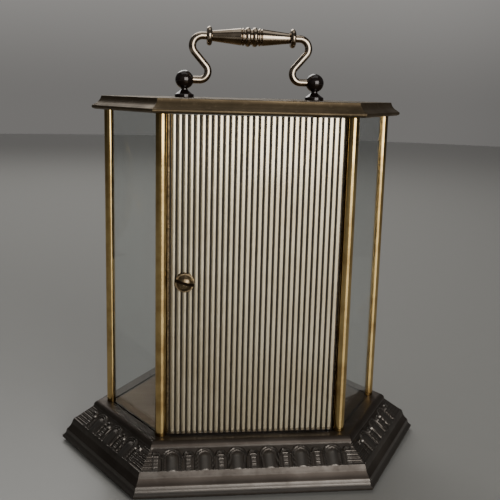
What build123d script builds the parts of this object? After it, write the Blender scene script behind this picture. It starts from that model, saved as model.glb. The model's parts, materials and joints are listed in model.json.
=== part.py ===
from build123d import *

import math
import os

# A six-sided brass and glass mantel clock: cast base and top, round corner posts, glass panes, a reeded
# rear door with a turn latch, a swinging bail handle, a battery movement with its dial, and a rotary
# pendulum hanging under it.
# Millimetres. Origin at the middle of the underside, +Z up, the dial faces -Y, the rear door is at +Y.

# ---------------------------------------------------------------- driving dimensions
SIDE_POST_X = 79.0  # the two side corners of the six-sided plan
CORNER_X = 49.5  # the four front and rear corners
CORNER_Y = 47.0

FELT_T = 1.5
LIP_Z = FELT_T  # the base's bottom lip stands just clear of the table
LEDGE_Z = 24.5  # top of the base, where posts and panes stand
SLAB_Z = 198.5  # underside of the top
SLAB_TOP = 206.0

POST_R = 3.15
POST_BORE_R = 1.75
ROD_R = 1.5
GLASS_T = 2.0
GLASS_GAP = 0.1
GROOVE_DEPTH = 1.0
GROOVE_INSET = 1.9  # how far short of the corners the grooves end, under the posts
FLOOR_T = 0.8
WEB_T = 3.0  # casting thickness under the ledge

PIVOT_X = 37.4  # the bail handle's pivots
PIVOT_Z = 216.0
GRIP_Z = 240.4
WIRE_R = 2.1
BALL_R = 5.25
RUNNING = 0.05  # radial clearance of a running fit

REED_COUNT = 30
REED_PITCH = 3.0
REED_RISE = 0.9
SHEET_T = 0.4
DOOR_Z0 = LEDGE_Z + 1.2
DOOR_Z1 = SLAB_Z - 0.6
DOOR_EDGE_X = REED_COUNT * REED_PITCH / 2 + 0.3
FRAME_Y0 = 45.5
FRAME_Y1 = 47.5
HINGE_X = -43.5
HINGE_Y = 46.5
HINGE_PIN_R = 0.75
LATCH_X = 37.4
LATCH_Z = 110.8
LATCH_SLOT_TILT = 15.0

DIAL_Z = 150.0  # height of the hands' axis
PLATE_Y = -24.0  # front face of the movement bracket
PLATE_T = 1.5
DIAL_R = 41.0
DIAL_T = 0.8
MOVEMENT_W = 58.0
MOVEMENT_D = 16.0
PLATFORM_Z = 104.0
PILLAR_X = 36.0
PILLAR_R = 2.5

GEAR_PRESSURE = math.radians(25)
CANNON_TEETH, MINUTE_WHEEL_TEETH = 12, 36
MINUTE_PINION_TEETH, HOUR_WHEEL_TEETH = 10, 40
GEAR_CENTRES = 10.8
MINUTE_WHEEL_TURN = 135.0  # where the minute wheel stands about the hands' axis, from +X towards +Z
HOUR_HAND_TURN = 305.0  # clock degrees at rest, ten past ten
MINUTE_HAND_TURN = 60.0

PENDULUM_BALLS = 4
PENDULUM_BALL_R = 6.2
PENDULUM_ARM = 21.0
PENDULUM_Z = 58.0

OUT = "parts"
CORNERS = [
    (SIDE_POST_X, 0.0),
    (CORNER_X, CORNER_Y),
    (-CORNER_X, CORNER_Y),
    (-SIDE_POST_X, 0.0),
    (-CORNER_X, -CORNER_Y),
    (CORNER_X, -CORNER_Y),
]
CORNER_NAMES = ["right", "rear_right", "rear_left", "left", "front_left", "front_right"]
GLAZED_SIDES = (0, 2, 3, 4, 5)  # every side but the door's
PANES = {"glass_rear_right": (0,), "glass_rear_left": (2,), "glass_front": (4,), "glass_front_sides": (3, 5)}


def save(shape, node):
    shape.label = node
    export_step(shape, os.path.join(OUT, node + ".step"))


def cylinder(radius, z0, z1, x=0.0, y=0.0):
    return Pos(x, y, z0) * Cylinder(radius, z1 - z0, align=(Align.CENTER, Align.CENTER, Align.MIN))


def cylinder_y(radius, y0, y1, x=0.0, z=0.0):
    """A cylinder along +Y from y0 to y1."""
    lying = Rot(-90, 0, 0) * Cylinder(radius, y1 - y0, align=(Align.CENTER, Align.CENTER, Align.MIN))
    return Pos(x, y0, z) * lying


def block(x0, x1, y0, y1, z0, z1):
    return Pos(x0, y0, z0) * Box(x1 - x0, y1 - y0, z1 - z0, align=(Align.MIN, Align.MIN, Align.MIN))


def turned(points, axis_x=0.0, axis_y=0.0):
    """A solid of revolution about a vertical axis. A point is (radius, z), and a third value is an arc's
    middle radius and height, which makes the stretch up to that point an arc."""
    return Pos(axis_x, axis_y, 0) * revolve(outline(points, Plane.XZ), Axis.Z)


def outline(points, plane):
    """A face from corner points. A corner with four values arrives by an arc through its last two."""
    edges = []
    last = None
    for point in points + [points[0][:2]]:
        here = point[:2]
        if last is not None and here != last:
            if len(point) == 4:
                edges.append(ThreePointArc(last, point[2:], here))
            else:
                edges.append(Line(last, here))
        last = here
    return plane * make_face(edges)


# ---------------------------------------------------------------- the six-sided plan
def side(k):
    """Start corner, end corner, unit direction and outward normal of the plan's side k."""
    (x0, y0), (x1, y1) = CORNERS[k], CORNERS[(k + 1) % 6]
    length = math.hypot(x1 - x0, y1 - y0)
    ux, uy = (x1 - x0) / length, (y1 - y0) / length
    return (x0, y0), (x1, y1), (ux, uy), (uy, -ux)


def plan_moulding(points):
    """A six-sided solid, mitred at the corners. Each side's outline is `points`, (outward offset, z)."""
    reach = 400.0
    solid = None
    for k in range(6):
        start, _, _, normal = side(k)
        plane = Plane(origin=(*start, 0), x_dir=(*normal, 0), z_dir=(normal[1], -normal[0], 0))
        closed = [(-reach, points[0][1])] + points + [(-reach, points[-1][1])]
        prism = extrude(outline(closed, plane), reach, both=True)
        solid = prism if solid is None else solid & prism
    return solid


def plan_prism(offset, z0, z1):
    return plan_moulding([(offset, z0), (offset, z1)])


def at_corners(make):
    return Compound(children=[Pos(x, y, 0) * make() for x, y in CORNERS])


def side_bar(k, half_width, z0, z1, inset):
    """A bar along side k, from inset past its first corner to inset before its last."""
    start, end, along, _ = side(k)
    length = math.dist(start, end) - 2 * inset
    middle = ((start[0] + end[0]) / 2, (start[1] + end[1]) / 2)
    turn = math.degrees(math.atan2(along[1], along[0]))
    bar = Box(length, 2 * half_width, z1 - z0, align=(Align.CENTER, Align.CENTER, Align.MIN))
    return Pos(*middle, z0) * Rot(0, 0, turn) * bar


# ---------------------------------------------------------------- base
BASE_PROFILE = [
    (25.4, LIP_Z),
    (25.4, 2.9),
    (23.6, 4.9, 24.3, 3.85),
    (23.0, 7.05, 23.4, 6.05),
    (20.6, 10.5, 21.65, 8.6),
    (19.5, 13.5, 20.2, 12.05),
    (9.5, 21.6),
    (6.5, 24.5, 8.6, 23.6),
    (6.0, LEDGE_Z),
]
CAVITY_PROFILE = [(22.4, LIP_Z), (22.4, 3.5), (19.4, 8.0), (7.0, 21.5), (5.0, LEDGE_Z - WEB_T)]
FLOOR_INSET = 2.0
FLANGE_INSET = 9.0
COVER_Z1 = LIP_Z + 1.0
COVER_SCREWS = [(69.5, 0.0), (-69.5, 0.0), (0.0, 41.0), (0.0, -41.0)]
BOSS_R = 4.0
SCREW_R = 1.25
PILLAR_FOOT_R = 1.5


def base_casting():
    body = plan_moulding(BASE_PROFILE)
    body -= plan_moulding(CAVITY_PROFILE)
    body -= plan_prism(-FLANGE_INSET, LEDGE_Z - WEB_T - 1, LEDGE_Z + 1)
    body -= plan_prism(-FLOOR_INSET, LEDGE_Z - FLOOR_T, LEDGE_Z + 1)
    for x, y in COVER_SCREWS:
        body += cylinder(BOSS_R, COVER_Z1, LEDGE_Z - WEB_T + 0.5, x, y)
        body -= cylinder(SCREW_R, COVER_Z1 - 1, 8.0, x, y)
    for k in GLAZED_SIDES:
        body -= side_bar(k, GLASS_T / 2 + GLASS_GAP, LEDGE_Z - GROOVE_DEPTH, LEDGE_Z + 1, GROOVE_INSET)
    for x, y in CORNERS:
        body -= cylinder(ROD_R + 0.1, LEDGE_Z - WEB_T - 1, LEDGE_Z + 1, x, y)
    body -= cylinder(HINGE_PIN_R + RUNNING, LEDGE_Z - 2.0, LEDGE_Z + 1, HINGE_X, HINGE_Y)
    return body


def cover_screw():
    head = turned([(0, 0.4), (2.2, 0.4), (2.2, 1.0, 2.0, 0.7), (0, 1.0)])
    slot = block(-3, 3, -0.3, 0.3, 0, 0.7)
    return (head - slot) + cylinder(SCREW_R, 1.0, 6.0)


def build_base():
    save(base_casting(), "base_casting")
    cover = plan_prism(21.8, LIP_Z, COVER_Z1)
    felt = plan_prism(20.0, 0.0, FELT_T)
    screws = []
    for x, y in COVER_SCREWS:
        cover -= cylinder(SCREW_R, LIP_Z - 1, COVER_Z1 + 1, x, y)
        felt -= cylinder(3.0, -1, FELT_T + 1, x, y)
        screws.append(Pos(x, y, LIP_Z - 1.0) * cover_screw())
    save(cover, "bottom_cover")
    save(felt, "felt_pad")
    save(Compound(children=screws), "cover_screws")

    floor = plan_prism(-FLOOR_INSET - 0.1, LEDGE_Z - FLOOR_T, LEDGE_Z)
    for x, y in CORNERS:
        floor -= cylinder(POST_R + 0.15, LEDGE_Z - 2, LEDGE_Z + 1, x, y)
    for x in (-PILLAR_X, PILLAR_X):
        floor -= cylinder(PILLAR_FOOT_R, LEDGE_Z - 2, LEDGE_Z + 1, x, 0)
    save(floor, "floor_plate")


# ---------------------------------------------------------------- posts, rods and glass
NUT_Z1 = LEDGE_Z - WEB_T
NUT_T = 2.4
ROD_TOP = SLAB_Z + 5.0
PANE_INSET = 2.3  # how far short of the corners the panes end
POST_SLOT_IN = 2.15  # a post's glass slot is cut no nearer to its axis than this


def post(k):
    x, y = CORNERS[k]
    tube = cylinder(POST_R, LEDGE_Z, SLAB_Z) - cylinder(POST_BORE_R, LEDGE_Z - 1, SLAB_Z + 1)
    for glazed, sense in ((k, 1), ((k - 1) % 6, -1)):
        if glazed in GLAZED_SIDES:
            _, _, (ux, uy), _ = side(glazed)
            turn = math.degrees(math.atan2(sense * uy, sense * ux))
            half = GLASS_T / 2 + GLASS_GAP
            tube -= Rot(0, 0, turn) * block(POST_SLOT_IN, POST_R + 1, -half, half, LEDGE_Z - 1, SLAB_Z + 1)
    return Pos(x, y, 0) * tube


def flange_nut(height=NUT_T, across=5.5, bore=ROD_R):
    body = extrude(RegularPolygon(across / math.sqrt(3), 6), height - 0.6)
    washer = Pos(0, 0, height - 0.6) * extrude(Circle(across * 0.68), 0.6)
    return body + washer - cylinder(bore, -1, height + 1)


def build_posts_and_glass():
    for k, name in enumerate(CORNER_NAMES):
        save(post(k), "post_" + name)
    save(at_corners(lambda: cylinder(ROD_R, NUT_Z1 - NUT_T - 1.2, ROD_TOP)), "tie_rods")
    save(at_corners(lambda: Pos(0, 0, NUT_Z1 - NUT_T) * flange_nut()), "tie_rod_nuts")
    z0, z1 = LEDGE_Z - GROOVE_DEPTH + GLASS_GAP, SLAB_Z + GROOVE_DEPTH - 2 * GLASS_GAP
    for node, sides in PANES.items():
        panes = [side_bar(k, GLASS_T / 2, z0, z1, PANE_INSET) for k in sides]
        save(panes[0] if len(panes) == 1 else Compound(children=panes), node)


# ---------------------------------------------------------------- top
SLAB_PROFILE = [
    (7.4, SLAB_Z),
    (7.7, 201.1, 8.5, 199.7),
    (3.9, 205.6, 5.3, 202.9),
    (3.9, SLAB_TOP),
]
POCKET_INSET = 8.0
CEILING_INSET = 4.5
CEILING_T = 0.8
SLAB_WEB = 2.5
FINIAL_SCREW_R = 1.25
FOOT_R = 5.45
NECK_R = 2.0


def build_top():
    slab = plan_moulding(SLAB_PROFILE)
    slab -= plan_prism(-POCKET_INSET, SLAB_Z - 1, SLAB_TOP - SLAB_WEB)
    slab -= plan_prism(-CEILING_INSET, SLAB_Z - 1, SLAB_Z + CEILING_T)
    for k in GLAZED_SIDES:
        slab -= side_bar(k, GLASS_T / 2 + GLASS_GAP, SLAB_Z - 1, SLAB_Z + GROOVE_DEPTH, GROOVE_INSET)
    for x, y in CORNERS:
        slab -= cylinder(ROD_R, SLAB_Z - 1, ROD_TOP, x, y)
    slab -= cylinder(HINGE_PIN_R + RUNNING, SLAB_Z - 1, SLAB_Z + 2.2, HINGE_X, HINGE_Y)
    for x in (-PIVOT_X, PIVOT_X):
        slab -= cylinder(FINIAL_SCREW_R, SLAB_TOP - SLAB_WEB - 1, SLAB_TOP + 1, x, 0)
    save(slab, "top_slab")

    ceiling = plan_prism(-CEILING_INSET - 0.1, SLAB_Z, SLAB_Z + CEILING_T)
    save(ceiling, "ceiling_plate")

    shank_top = SLAB_TOP + 5.0
    screws = []
    for x in (-PIVOT_X, PIVOT_X):
        under_web = SLAB_TOP - SLAB_WEB
        head = cylinder(2.5, under_web - 1.6, under_web, x, 0)
        slot = block(x - 3, x + 3, -0.35, 0.35, under_web - 2, under_web - 0.9)
        screws.append(head - slot + cylinder(FINIAL_SCREW_R, under_web, shank_top, x, 0))
    save(Compound(children=screws), "finial_screws")

    for sense, name in ((-1, "left"), (1, "right")):
        save(finial(sense, shank_top), "finial_" + name)


def finial(sense, shank_top):
    """A ball on a flared foot, bored from its inner side for the handle's pivot."""
    foot = turned(
        [
            (0, SLAB_TOP),
            (FOOT_R, SLAB_TOP),
            (FOOT_R, SLAB_TOP + 1.9),
            (NECK_R, SLAB_TOP + 4.4, 3.4, SLAB_TOP + 3.1),
            (NECK_R, SLAB_TOP + 6.0),
            (0, SLAB_TOP + 6.0),
        ]
    )
    ball = Pos(0, 0, PIVOT_Z) * Sphere(BALL_R)
    body = foot + ball - cylinder(FINIAL_SCREW_R, SLAB_TOP - 1, shank_top)
    bore = Cylinder(WIRE_R + RUNNING, 12, align=(Align.CENTER, Align.CENTER, Align.MIN))
    bore = Rot(0, -90 * sense, 0) * bore
    body -= Pos(sense * 1.2, 0, PIVOT_Z) * bore
    return Pos(sense * PIVOT_X, 0, 0) * body


# ---------------------------------------------------------------- bail handle
LOWER_BEND = (29.0, PIVOT_Z + 4.8)  # centre of the lower bend
LOWER_BEND_R = 4.8
UPPER_BEND = (27.6, GRIP_Z - 5.5)
UPPER_BEND_R = 5.5
ARM_END_X = 25.1
COLLAR_T = 2.8
COLLAR_R = 5.45
TENON_R = 1.2
TENON_END_X = 18.0
GRIP_PROFILE = [
    (0, ARM_END_X - COLLAR_T),
    (2.9, ARM_END_X - COLLAR_T),
    (4.8, 6.0),
    (4.3, 5.7),
    (4.3, 5.5),
    (4.3, 3.9, 4.95, 4.7),
    (4.3, 3.6),
    (4.3, 0.35, 5.45, 1.95),
    (4.3, 0.0),
    (0, 0.0),
]


def on_circle(centre, radius, degrees):
    angle = math.radians(degrees)
    return (centre[0] + radius * math.cos(angle), centre[1] + radius * math.sin(angle))


def arm_path():
    """The S-bent wire's centreline in the XZ plane: two bends joined by their crossing tangent."""
    dx, dz = UPPER_BEND[0] - LOWER_BEND[0], UPPER_BEND[1] - LOWER_BEND[1]
    heading = math.degrees(math.atan2(dz, dx))
    spread = math.degrees(math.acos((LOWER_BEND_R + UPPER_BEND_R) / math.hypot(dx, dz)))
    leave = heading + spread
    leave_point = on_circle(LOWER_BEND, LOWER_BEND_R, leave)
    meet = on_circle(UPPER_BEND, UPPER_BEND_R, leave - 180)
    edges = [
        Line((PIVOT_X + 1.0, PIVOT_Z), (LOWER_BEND[0], PIVOT_Z)),
        ThreePointArc((LOWER_BEND[0], PIVOT_Z), on_circle(LOWER_BEND, LOWER_BEND_R, 200), leave_point),
        Line(leave_point, meet),
        ThreePointArc(meet, on_circle(UPPER_BEND, UPPER_BEND_R, 20), (UPPER_BEND[0], GRIP_Z)),
        Line((UPPER_BEND[0], GRIP_Z), (ARM_END_X, GRIP_Z)),
    ]
    return Plane.XZ * Wire(edges)


def handle_arm():
    path = arm_path()
    section = Plane(origin=path @ 0, z_dir=path % 0) * Circle(WIRE_R)
    wire = sweep(section, path)
    tenon = Pos(TENON_END_X, 0, GRIP_Z) * Rot(0, 90, 0) * Cylinder(
        TENON_R, ARM_END_X - TENON_END_X, align=(Align.CENTER, Align.CENTER, Align.MIN)
    )
    return wire + tenon


def about_grip(points):
    """A solid turned about the grip's axis from (radius, x) points."""
    return Pos(0, 0, GRIP_Z) * Rot(0, 90, 0) * revolve(outline(points, Plane.XZ), Axis.Z)


def build_handle():
    arm = handle_arm()
    save(arm, "handle_arm_right")
    save(mirror(arm, Plane.YZ), "handle_arm_left")

    half = about_grip(GRIP_PROFILE)
    half -= Pos(TENON_END_X - 0.4, 0, GRIP_Z) * Rot(0, 90, 0) * Cylinder(
        TENON_R + 0.03, 10, align=(Align.CENTER, Align.CENTER, Align.MIN)
    )
    save(half + mirror(half, Plane.YZ), "handle_grip")

    inner, outer = ARM_END_X - COLLAR_T, ARM_END_X
    collar = about_grip(
        [
            (TENON_R + 0.03, inner),
            (3.2, inner),
            (3.2, outer, COLLAR_R, (inner + outer) / 2),
            (TENON_R + 0.03, outer),
        ]
    )
    save(Compound(children=[collar, mirror(collar, Plane.YZ)]), "handle_collars")


# ---------------------------------------------------------------- rear door and its latch
STILE_W = 5.0
LATCH_SHAFT_R = 1.6
LATCH_BUSH_R = 2.6
LATCH_BLOCK = (5.0, 9.0)  # half width inwards and half height of the frame's block round the latch
HINGE_PIN_REACH = 6.0
KNOB_R = 5.1
KNOB_SLOT_W = 1.7
KNOB_SLOT_DEPTH = 1.8
KNOB_Y0 = FRAME_Y1 + SHEET_T + REED_RISE + 0.3
KNOB_Y1 = KNOB_Y0 + 3.4
CAM_Y0 = 42.3
CAM_Y1 = 43.5
CAM_REACH = 11.8
CAM_HUB_R = 3.0
# Strips clamped between base and top behind the door's edges, as x0, x1, y0, y1. The latch cam turns
# behind the first of them.
LATCH_STOP = (43.9, 46.5, CAM_Y1 + 0.2, FRAME_Y0 - 0.3)
HINGE_STOP = (-48.4, -44.6, 42.0, 43.3)


def reeded_outline():
    """Plan outline of the pressed sheet: round reeds outside, and their hollows inside."""
    half = REED_COUNT * REED_PITCH / 2
    groove, crest = FRAME_Y1 + SHEET_T, FRAME_Y1 + SHEET_T + REED_RISE
    hollow = REED_PITCH * 0.3
    points = [(-DOOR_EDGE_X, FRAME_Y1), (-DOOR_EDGE_X, groove), (-half, groove)]
    for i in range(REED_COUNT):
        x = -half + i * REED_PITCH
        points.append((x + REED_PITCH, groove, x + REED_PITCH / 2, crest))
    points += [(DOOR_EDGE_X, groove), (DOOR_EDGE_X, FRAME_Y1)]
    for i in reversed(range(REED_COUNT)):
        middle = -half + (i + 0.5) * REED_PITCH
        points.append((middle + hollow, FRAME_Y1))
        points.append((middle - hollow, FRAME_Y1, middle, crest - SHEET_T - 0.1))
    return outline(points, Plane.XY)


def build_door():
    sheet = Pos(0, 0, DOOR_Z0) * extrude(reeded_outline(), DOOR_Z1 - DOOR_Z0)
    sheet -= cylinder_y(LATCH_BUSH_R, FRAME_Y1 - 1, KNOB_Y0, LATCH_X, LATCH_Z)
    save(sheet, "door_panel")

    edge = DOOR_EDGE_X - 0.3
    frame = block(-edge, edge, FRAME_Y0, FRAME_Y1, DOOR_Z0, DOOR_Z1)
    frame -= block(-edge + STILE_W, edge - STILE_W, 40, 50, DOOR_Z0 + STILE_W, DOOR_Z1 - STILE_W)
    inwards, half_height = LATCH_BLOCK
    frame += block(LATCH_X - inwards, edge, FRAME_Y0, FRAME_Y1, LATCH_Z - half_height, LATCH_Z + half_height)
    frame -= cylinder_y(LATCH_BUSH_R, 40, 50, LATCH_X, LATCH_Z)
    pins = []
    for z0, z1 in ((LEDGE_Z - 1.6, DOOR_Z0 + HINGE_PIN_REACH), (DOOR_Z1 - HINGE_PIN_REACH, SLAB_Z + 1.8)):
        frame -= cylinder(HINGE_PIN_R, max(z0, DOOR_Z0 - 1), min(z1, DOOR_Z1 + 1), HINGE_X, HINGE_Y)
        pins.append(cylinder(HINGE_PIN_R, z0, z1, HINGE_X, HINGE_Y))
    save(frame, "door_frame")
    save(Compound(children=pins), "door_hinge_pins")

    bush = cylinder_y(LATCH_BUSH_R, FRAME_Y0, KNOB_Y0 - 0.1, LATCH_X, LATCH_Z)
    bush -= cylinder_y(LATCH_SHAFT_R + RUNNING, 40, 60, LATCH_X, LATCH_Z)
    save(bush, "latch_bush")

    strips = [block(*strip, LEDGE_Z, SLAB_Z) for strip in (LATCH_STOP, HINGE_STOP)]
    save(Compound(children=strips), "door_stops")


def build_latch():
    dome = revolve(
        outline(
            [
                (0, KNOB_Y0),
                (KNOB_R - 0.4, KNOB_Y0),
                (KNOB_R, KNOB_Y0 + 1.1, KNOB_R, KNOB_Y0 + 0.4),
                (0, KNOB_Y1, 3.4, KNOB_Y0 + 2.75),
            ],
            Plane.XY,
        ),
        Axis.Y,
    )
    half_slot = KNOB_SLOT_W / 2
    slot = block(-7, 7, KNOB_Y1 - KNOB_SLOT_DEPTH, KNOB_Y1 + 1, -half_slot, half_slot)
    slot = Rot(0, -LATCH_SLOT_TILT, 0) * slot
    knob = Pos(LATCH_X, 0, LATCH_Z) * (dome - slot)
    knob += cylinder_y(LATCH_SHAFT_R, CAM_Y0 - 2.2, KNOB_Y0 + 0.5, LATCH_X, LATCH_Z)
    save(knob, "latch_knob")

    half_w = 2.6
    cam = block(-half_w, half_w, CAM_Y0, CAM_Y1, half_w - CAM_REACH, 0)
    cam += cylinder_y(half_w, CAM_Y0, CAM_Y1, 0, half_w - CAM_REACH)
    cam += cylinder_y(CAM_HUB_R, CAM_Y0, FRAME_Y0 - 0.2)
    cam -= cylinder_y(LATCH_SHAFT_R, 40, 50)
    save(Pos(LATCH_X, 0, LATCH_Z) * cam, "latch_cam")

    nut = Rot(90, 0, 0) * (extrude(RegularPolygon(3.1, 6), 1.6) - cylinder(LATCH_SHAFT_R, -1, 3))
    save(Pos(LATCH_X, CAM_Y0, LATCH_Z) * nut, "latch_nut")


# ---------------------------------------------------------------- pillars, platform and dial
PLATFORM_T = 1.5
SHELF_HALF = 41.0
SHELF_BACK = 9.0
ROD_HOLE_R = 2.2
BRACKET_TOP = 176.0
BRACKET_HALF = 27.0
CENTRE_BUSH_R = 4.0
SEAT_GAP = 0.05  # radial gap of a round seat that doesn't turn
CENTRE_BUSH_BORE = 3.0
BEZEL_R = 45.0


def pillar():
    """A turned brass pillar with threaded ends through the floor and the platform."""
    r = PILLAR_R
    z0, z1 = LEDGE_Z, PLATFORM_Z
    body = turned(
        [
            (0, z0),
            (r + 1.6, z0),
            (r + 1.6, z0 + 2.0),
            (r, z0 + 4.5, r + 0.3, z0 + 3.2),
            (r, z1 - 4.5),
            (r + 1.6, z1 - 2.0, r + 0.3, z1 - 3.2),
            (r + 1.6, z1),
            (0, z1),
        ]
    )
    return body + cylinder(PILLAR_FOOT_R, z0 - 4.5, z0) + cylinder(PILLAR_FOOT_R, z1, z1 + 5.0)


def build_stand():
    pillars, nuts = [], []
    for x in (-PILLAR_X, PILLAR_X):
        pillars.append(Pos(x, 0, 0) * pillar())
        nuts.append(Pos(x, 0, LEDGE_Z - FLOOR_T - NUT_T) * flange_nut())
        nuts.append(Pos(x, 0, PLATFORM_Z + PLATFORM_T + NUT_T) * Rot(180, 0, 0) * flange_nut())
    save(Compound(children=pillars), "pillars")
    save(Compound(children=nuts), "pillar_nuts")

    front, back = PLATE_Y, PLATE_Y + PLATE_T
    shelf = block(-SHELF_HALF, SHELF_HALF, front, SHELF_BACK, PLATFORM_Z, PLATFORM_Z + PLATFORM_T)
    upright = block(-BRACKET_HALF, BRACKET_HALF, front, back, PLATFORM_Z, BRACKET_TOP)
    bracket = shelf + upright
    for x in (-PILLAR_X, PILLAR_X):
        bracket -= cylinder(PILLAR_FOOT_R, PLATFORM_Z - 1, PLATFORM_Z + 3, x, 0)
    bracket -= cylinder(ROD_HOLE_R, PLATFORM_Z - 1, PLATFORM_Z + 3)
    bracket -= cylinder_y(CENTRE_BUSH_R + SEAT_GAP, front - 1, back + 1, 0, DIAL_Z)
    save(bracket, "movement_bracket")

    dial = cylinder_y(DIAL_R, PLATE_Y - DIAL_T, PLATE_Y, 0, DIAL_Z)
    dial -= cylinder_y(CENTRE_BUSH_R + SEAT_GAP, PLATE_Y - 2, PLATE_Y + 1, 0, DIAL_Z)
    save(dial, "dial_plate")

    lip_y, rim_y = PLATE_Y - DIAL_T, PLATE_Y - 4.5
    bezel = revolve(
        outline(
            [
                (DIAL_R + SEAT_GAP, PLATE_Y),
                (DIAL_R + SEAT_GAP, lip_y),
                (DIAL_R - 1.2, lip_y),
                (DIAL_R - 0.6, lip_y - 1.4),
                (BEZEL_R - 1.2, lip_y - 1.4, (DIAL_R + BEZEL_R) / 2 - 0.9, rim_y),
                (BEZEL_R, PLATE_Y - 1.0, BEZEL_R - 0.3, PLATE_Y - 1.8),
                (BEZEL_R, PLATE_Y),
            ],
            Plane.XY,
        ),
        Axis.Y,
    )
    save(Pos(0, 0, DIAL_Z) * bezel, "dial_bezel")


# ---------------------------------------------------------------- movement
CASE_Y0 = PLATE_Y + PLATE_T
CASE_Y1 = CASE_Y0 + MOVEMENT_D
SHELL = 1.2
SPLIT_Y = CASE_Y0 + 11.0
BATTERY_R = 7.0
BATTERY_HALF = 24.5
BATTERY_Y = CASE_Y0 + 8.2
BATTERY_Z = DIAL_Z - MOVEMENT_W / 2 + 8.6
BAY_TOP = BATTERY_Z + BATTERY_R + 0.6
MOTOR_X = 17.5
MOTOR_HALF = 8.5


def movement_shell():
    half = MOVEMENT_W / 2
    z0, z1 = DIAL_Z - half, DIAL_Z + half
    shell = block(-half, half, CASE_Y0, SPLIT_Y, z0, z1)
    gears = block(-half + SHELL, half - SHELL, CASE_Y0 + SHELL, SPLIT_Y + 1, BAY_TOP + SHELL, z1 - SHELL)
    bay = block(-half + SHELL, half - SHELL, CASE_Y0 + SHELL - 0.2, SPLIT_Y + 1, z0 + SHELL, BAY_TOP)
    bush = cylinder_y(CENTRE_BUSH_R, PLATE_Y - 4.2, CASE_Y0 + SHELL, 0, DIAL_Z)
    shell = shell - gears - bay + bush
    return shell - cylinder_y(CENTRE_BUSH_BORE, PLATE_Y - 6, CASE_Y0 + SHELL + 1, 0, DIAL_Z)


def movement_cover():
    half = MOVEMENT_W / 2
    z0, z1 = DIAL_Z - half, DIAL_Z + half
    cover = block(-half, half, SPLIT_Y, CASE_Y1, z0, z1)
    cover -= block(-half + SHELL, half - SHELL, SPLIT_Y - 1, CASE_Y1 - SHELL, BAY_TOP + SHELL, z1 - SHELL)
    cover -= block(-half + SHELL, half - SHELL, SPLIT_Y - 1, CASE_Y1 + 1, z0 + SHELL, BAY_TOP)
    wx, wz = minute_wheel_axis()
    cover -= cylinder_y(1.0 + RUNNING, SPLIT_Y, CASE_Y1 + 1, wx, wz)
    cover -= cylinder_y(1.0 + RUNNING, CASE_Y1 - SHELL - 1, CASE_Y1 - 0.5, 0, DIAL_Z)
    return cover


def minute_wheel_axis():
    turn = math.radians(MINUTE_WHEEL_TURN)
    return GEAR_CENTRES * math.cos(turn), DIAL_Z + GEAR_CENTRES * math.sin(turn)


def build_movement():
    save(movement_shell(), "movement_case")
    save(movement_cover(), "movement_cover")

    nut = Rot(90, 0, 0) * (extrude(RegularPolygon(6.2, 6), 2.4) - cylinder(CENTRE_BUSH_R + SEAT_GAP, -1, 4))
    save(Pos(0, PLATE_Y - DIAL_T, DIAL_Z) * nut, "centre_nut")

    half = MOVEMENT_W / 2
    cell = Rot(0, 90, 0) * turned(
        [
            (0, -BATTERY_HALF),
            (BATTERY_R, -BATTERY_HALF),
            (BATTERY_R, BATTERY_HALF - 0.5),
            (2.6, BATTERY_HALF - 0.5),
            (2.6, BATTERY_HALF + 1.0),
            (0, BATTERY_HALF + 1.0),
        ]
    )
    save(Pos(0, BATTERY_Y, BATTERY_Z) * cell, "battery_cell")

    tabs = []
    for sense, gap in ((-1, BATTERY_HALF), (1, BATTERY_HALF + 1.0)):
        inner, outer = sorted((sense * gap, sense * (half - SHELL)))
        y0, y1 = BATTERY_Y - TAB_HALF, BATTERY_Y + TAB_HALF
        tabs.append(block(inner, outer, y0, y1, BATTERY_Z - TAB_HALF, BATTERY_Z + TAB_HALF))
    save(Compound(children=tabs), "battery_contacts")

    save(circuit_board(), "circuit_board")
    save(motor_coil(), "motor_coil")
    save(motor_stator(), "motor_stator")

    drive_z = PLATFORM_Z + PLATFORM_T
    drive = block(-DRIVE_HALF, DRIVE_HALF, -9.0, 8.5, drive_z, drive_z + DRIVE_HEIGHT)
    drive -= cylinder(TOP_PIVOT_R + RUNNING, PLATFORM_Z, drive_z + DRIVE_HEIGHT - 3.0)
    save(drive, "pendulum_drive")


TAB_HALF = 4.0
DRIVE_HALF = 15.0
DRIVE_HEIGHT = 12.0
TOP_PIVOT_R = 1.0
BOARD_T = 0.8
COIL_Y = CASE_Y0 + 6.0
COIL_Z = DIAL_Z - 6.0
COIL_LENGTH = 13.0
CORE_HALF = 1.4
SHEET_HALF = 0.4  # half the stator's thickness
ROTOR_HOLE_R = 2.4


def circuit_board():
    y = CASE_Y0 + SHELL
    board = block(4, 27, y, y + BOARD_T, DIAL_Z + 12, DIAL_Z + 27)
    chip = block(8, 14, y + BOARD_T, y + BOARD_T + 1.2, DIAL_Z + 15, DIAL_Z + 21)
    can = Rot(0, 90, 0) * Cylinder(1.5, 7, align=(Align.CENTER, Align.CENTER, Align.MIN))
    return Compound(children=[board, chip, Pos(17, y + BOARD_T + 1.5, DIAL_Z + 24) * can])


def motor_coil():
    half = COIL_LENGTH / 2
    winding = Cylinder(3.4, COIL_LENGTH)
    for z in (-half, half):
        winding += Pos(0, 0, z) * Cylinder(4.4, 1)
    bobbin = Pos(MOTOR_X, COIL_Y, COIL_Z) * Rot(0, 90, 0) * winding
    slot_y, slot_z = SHEET_HALF + 0.1, CORE_HALF + 0.1
    return bobbin - block(0, 40, COIL_Y - slot_y, COIL_Y + slot_y, COIL_Z - slot_z, COIL_Z + slot_z)


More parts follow.
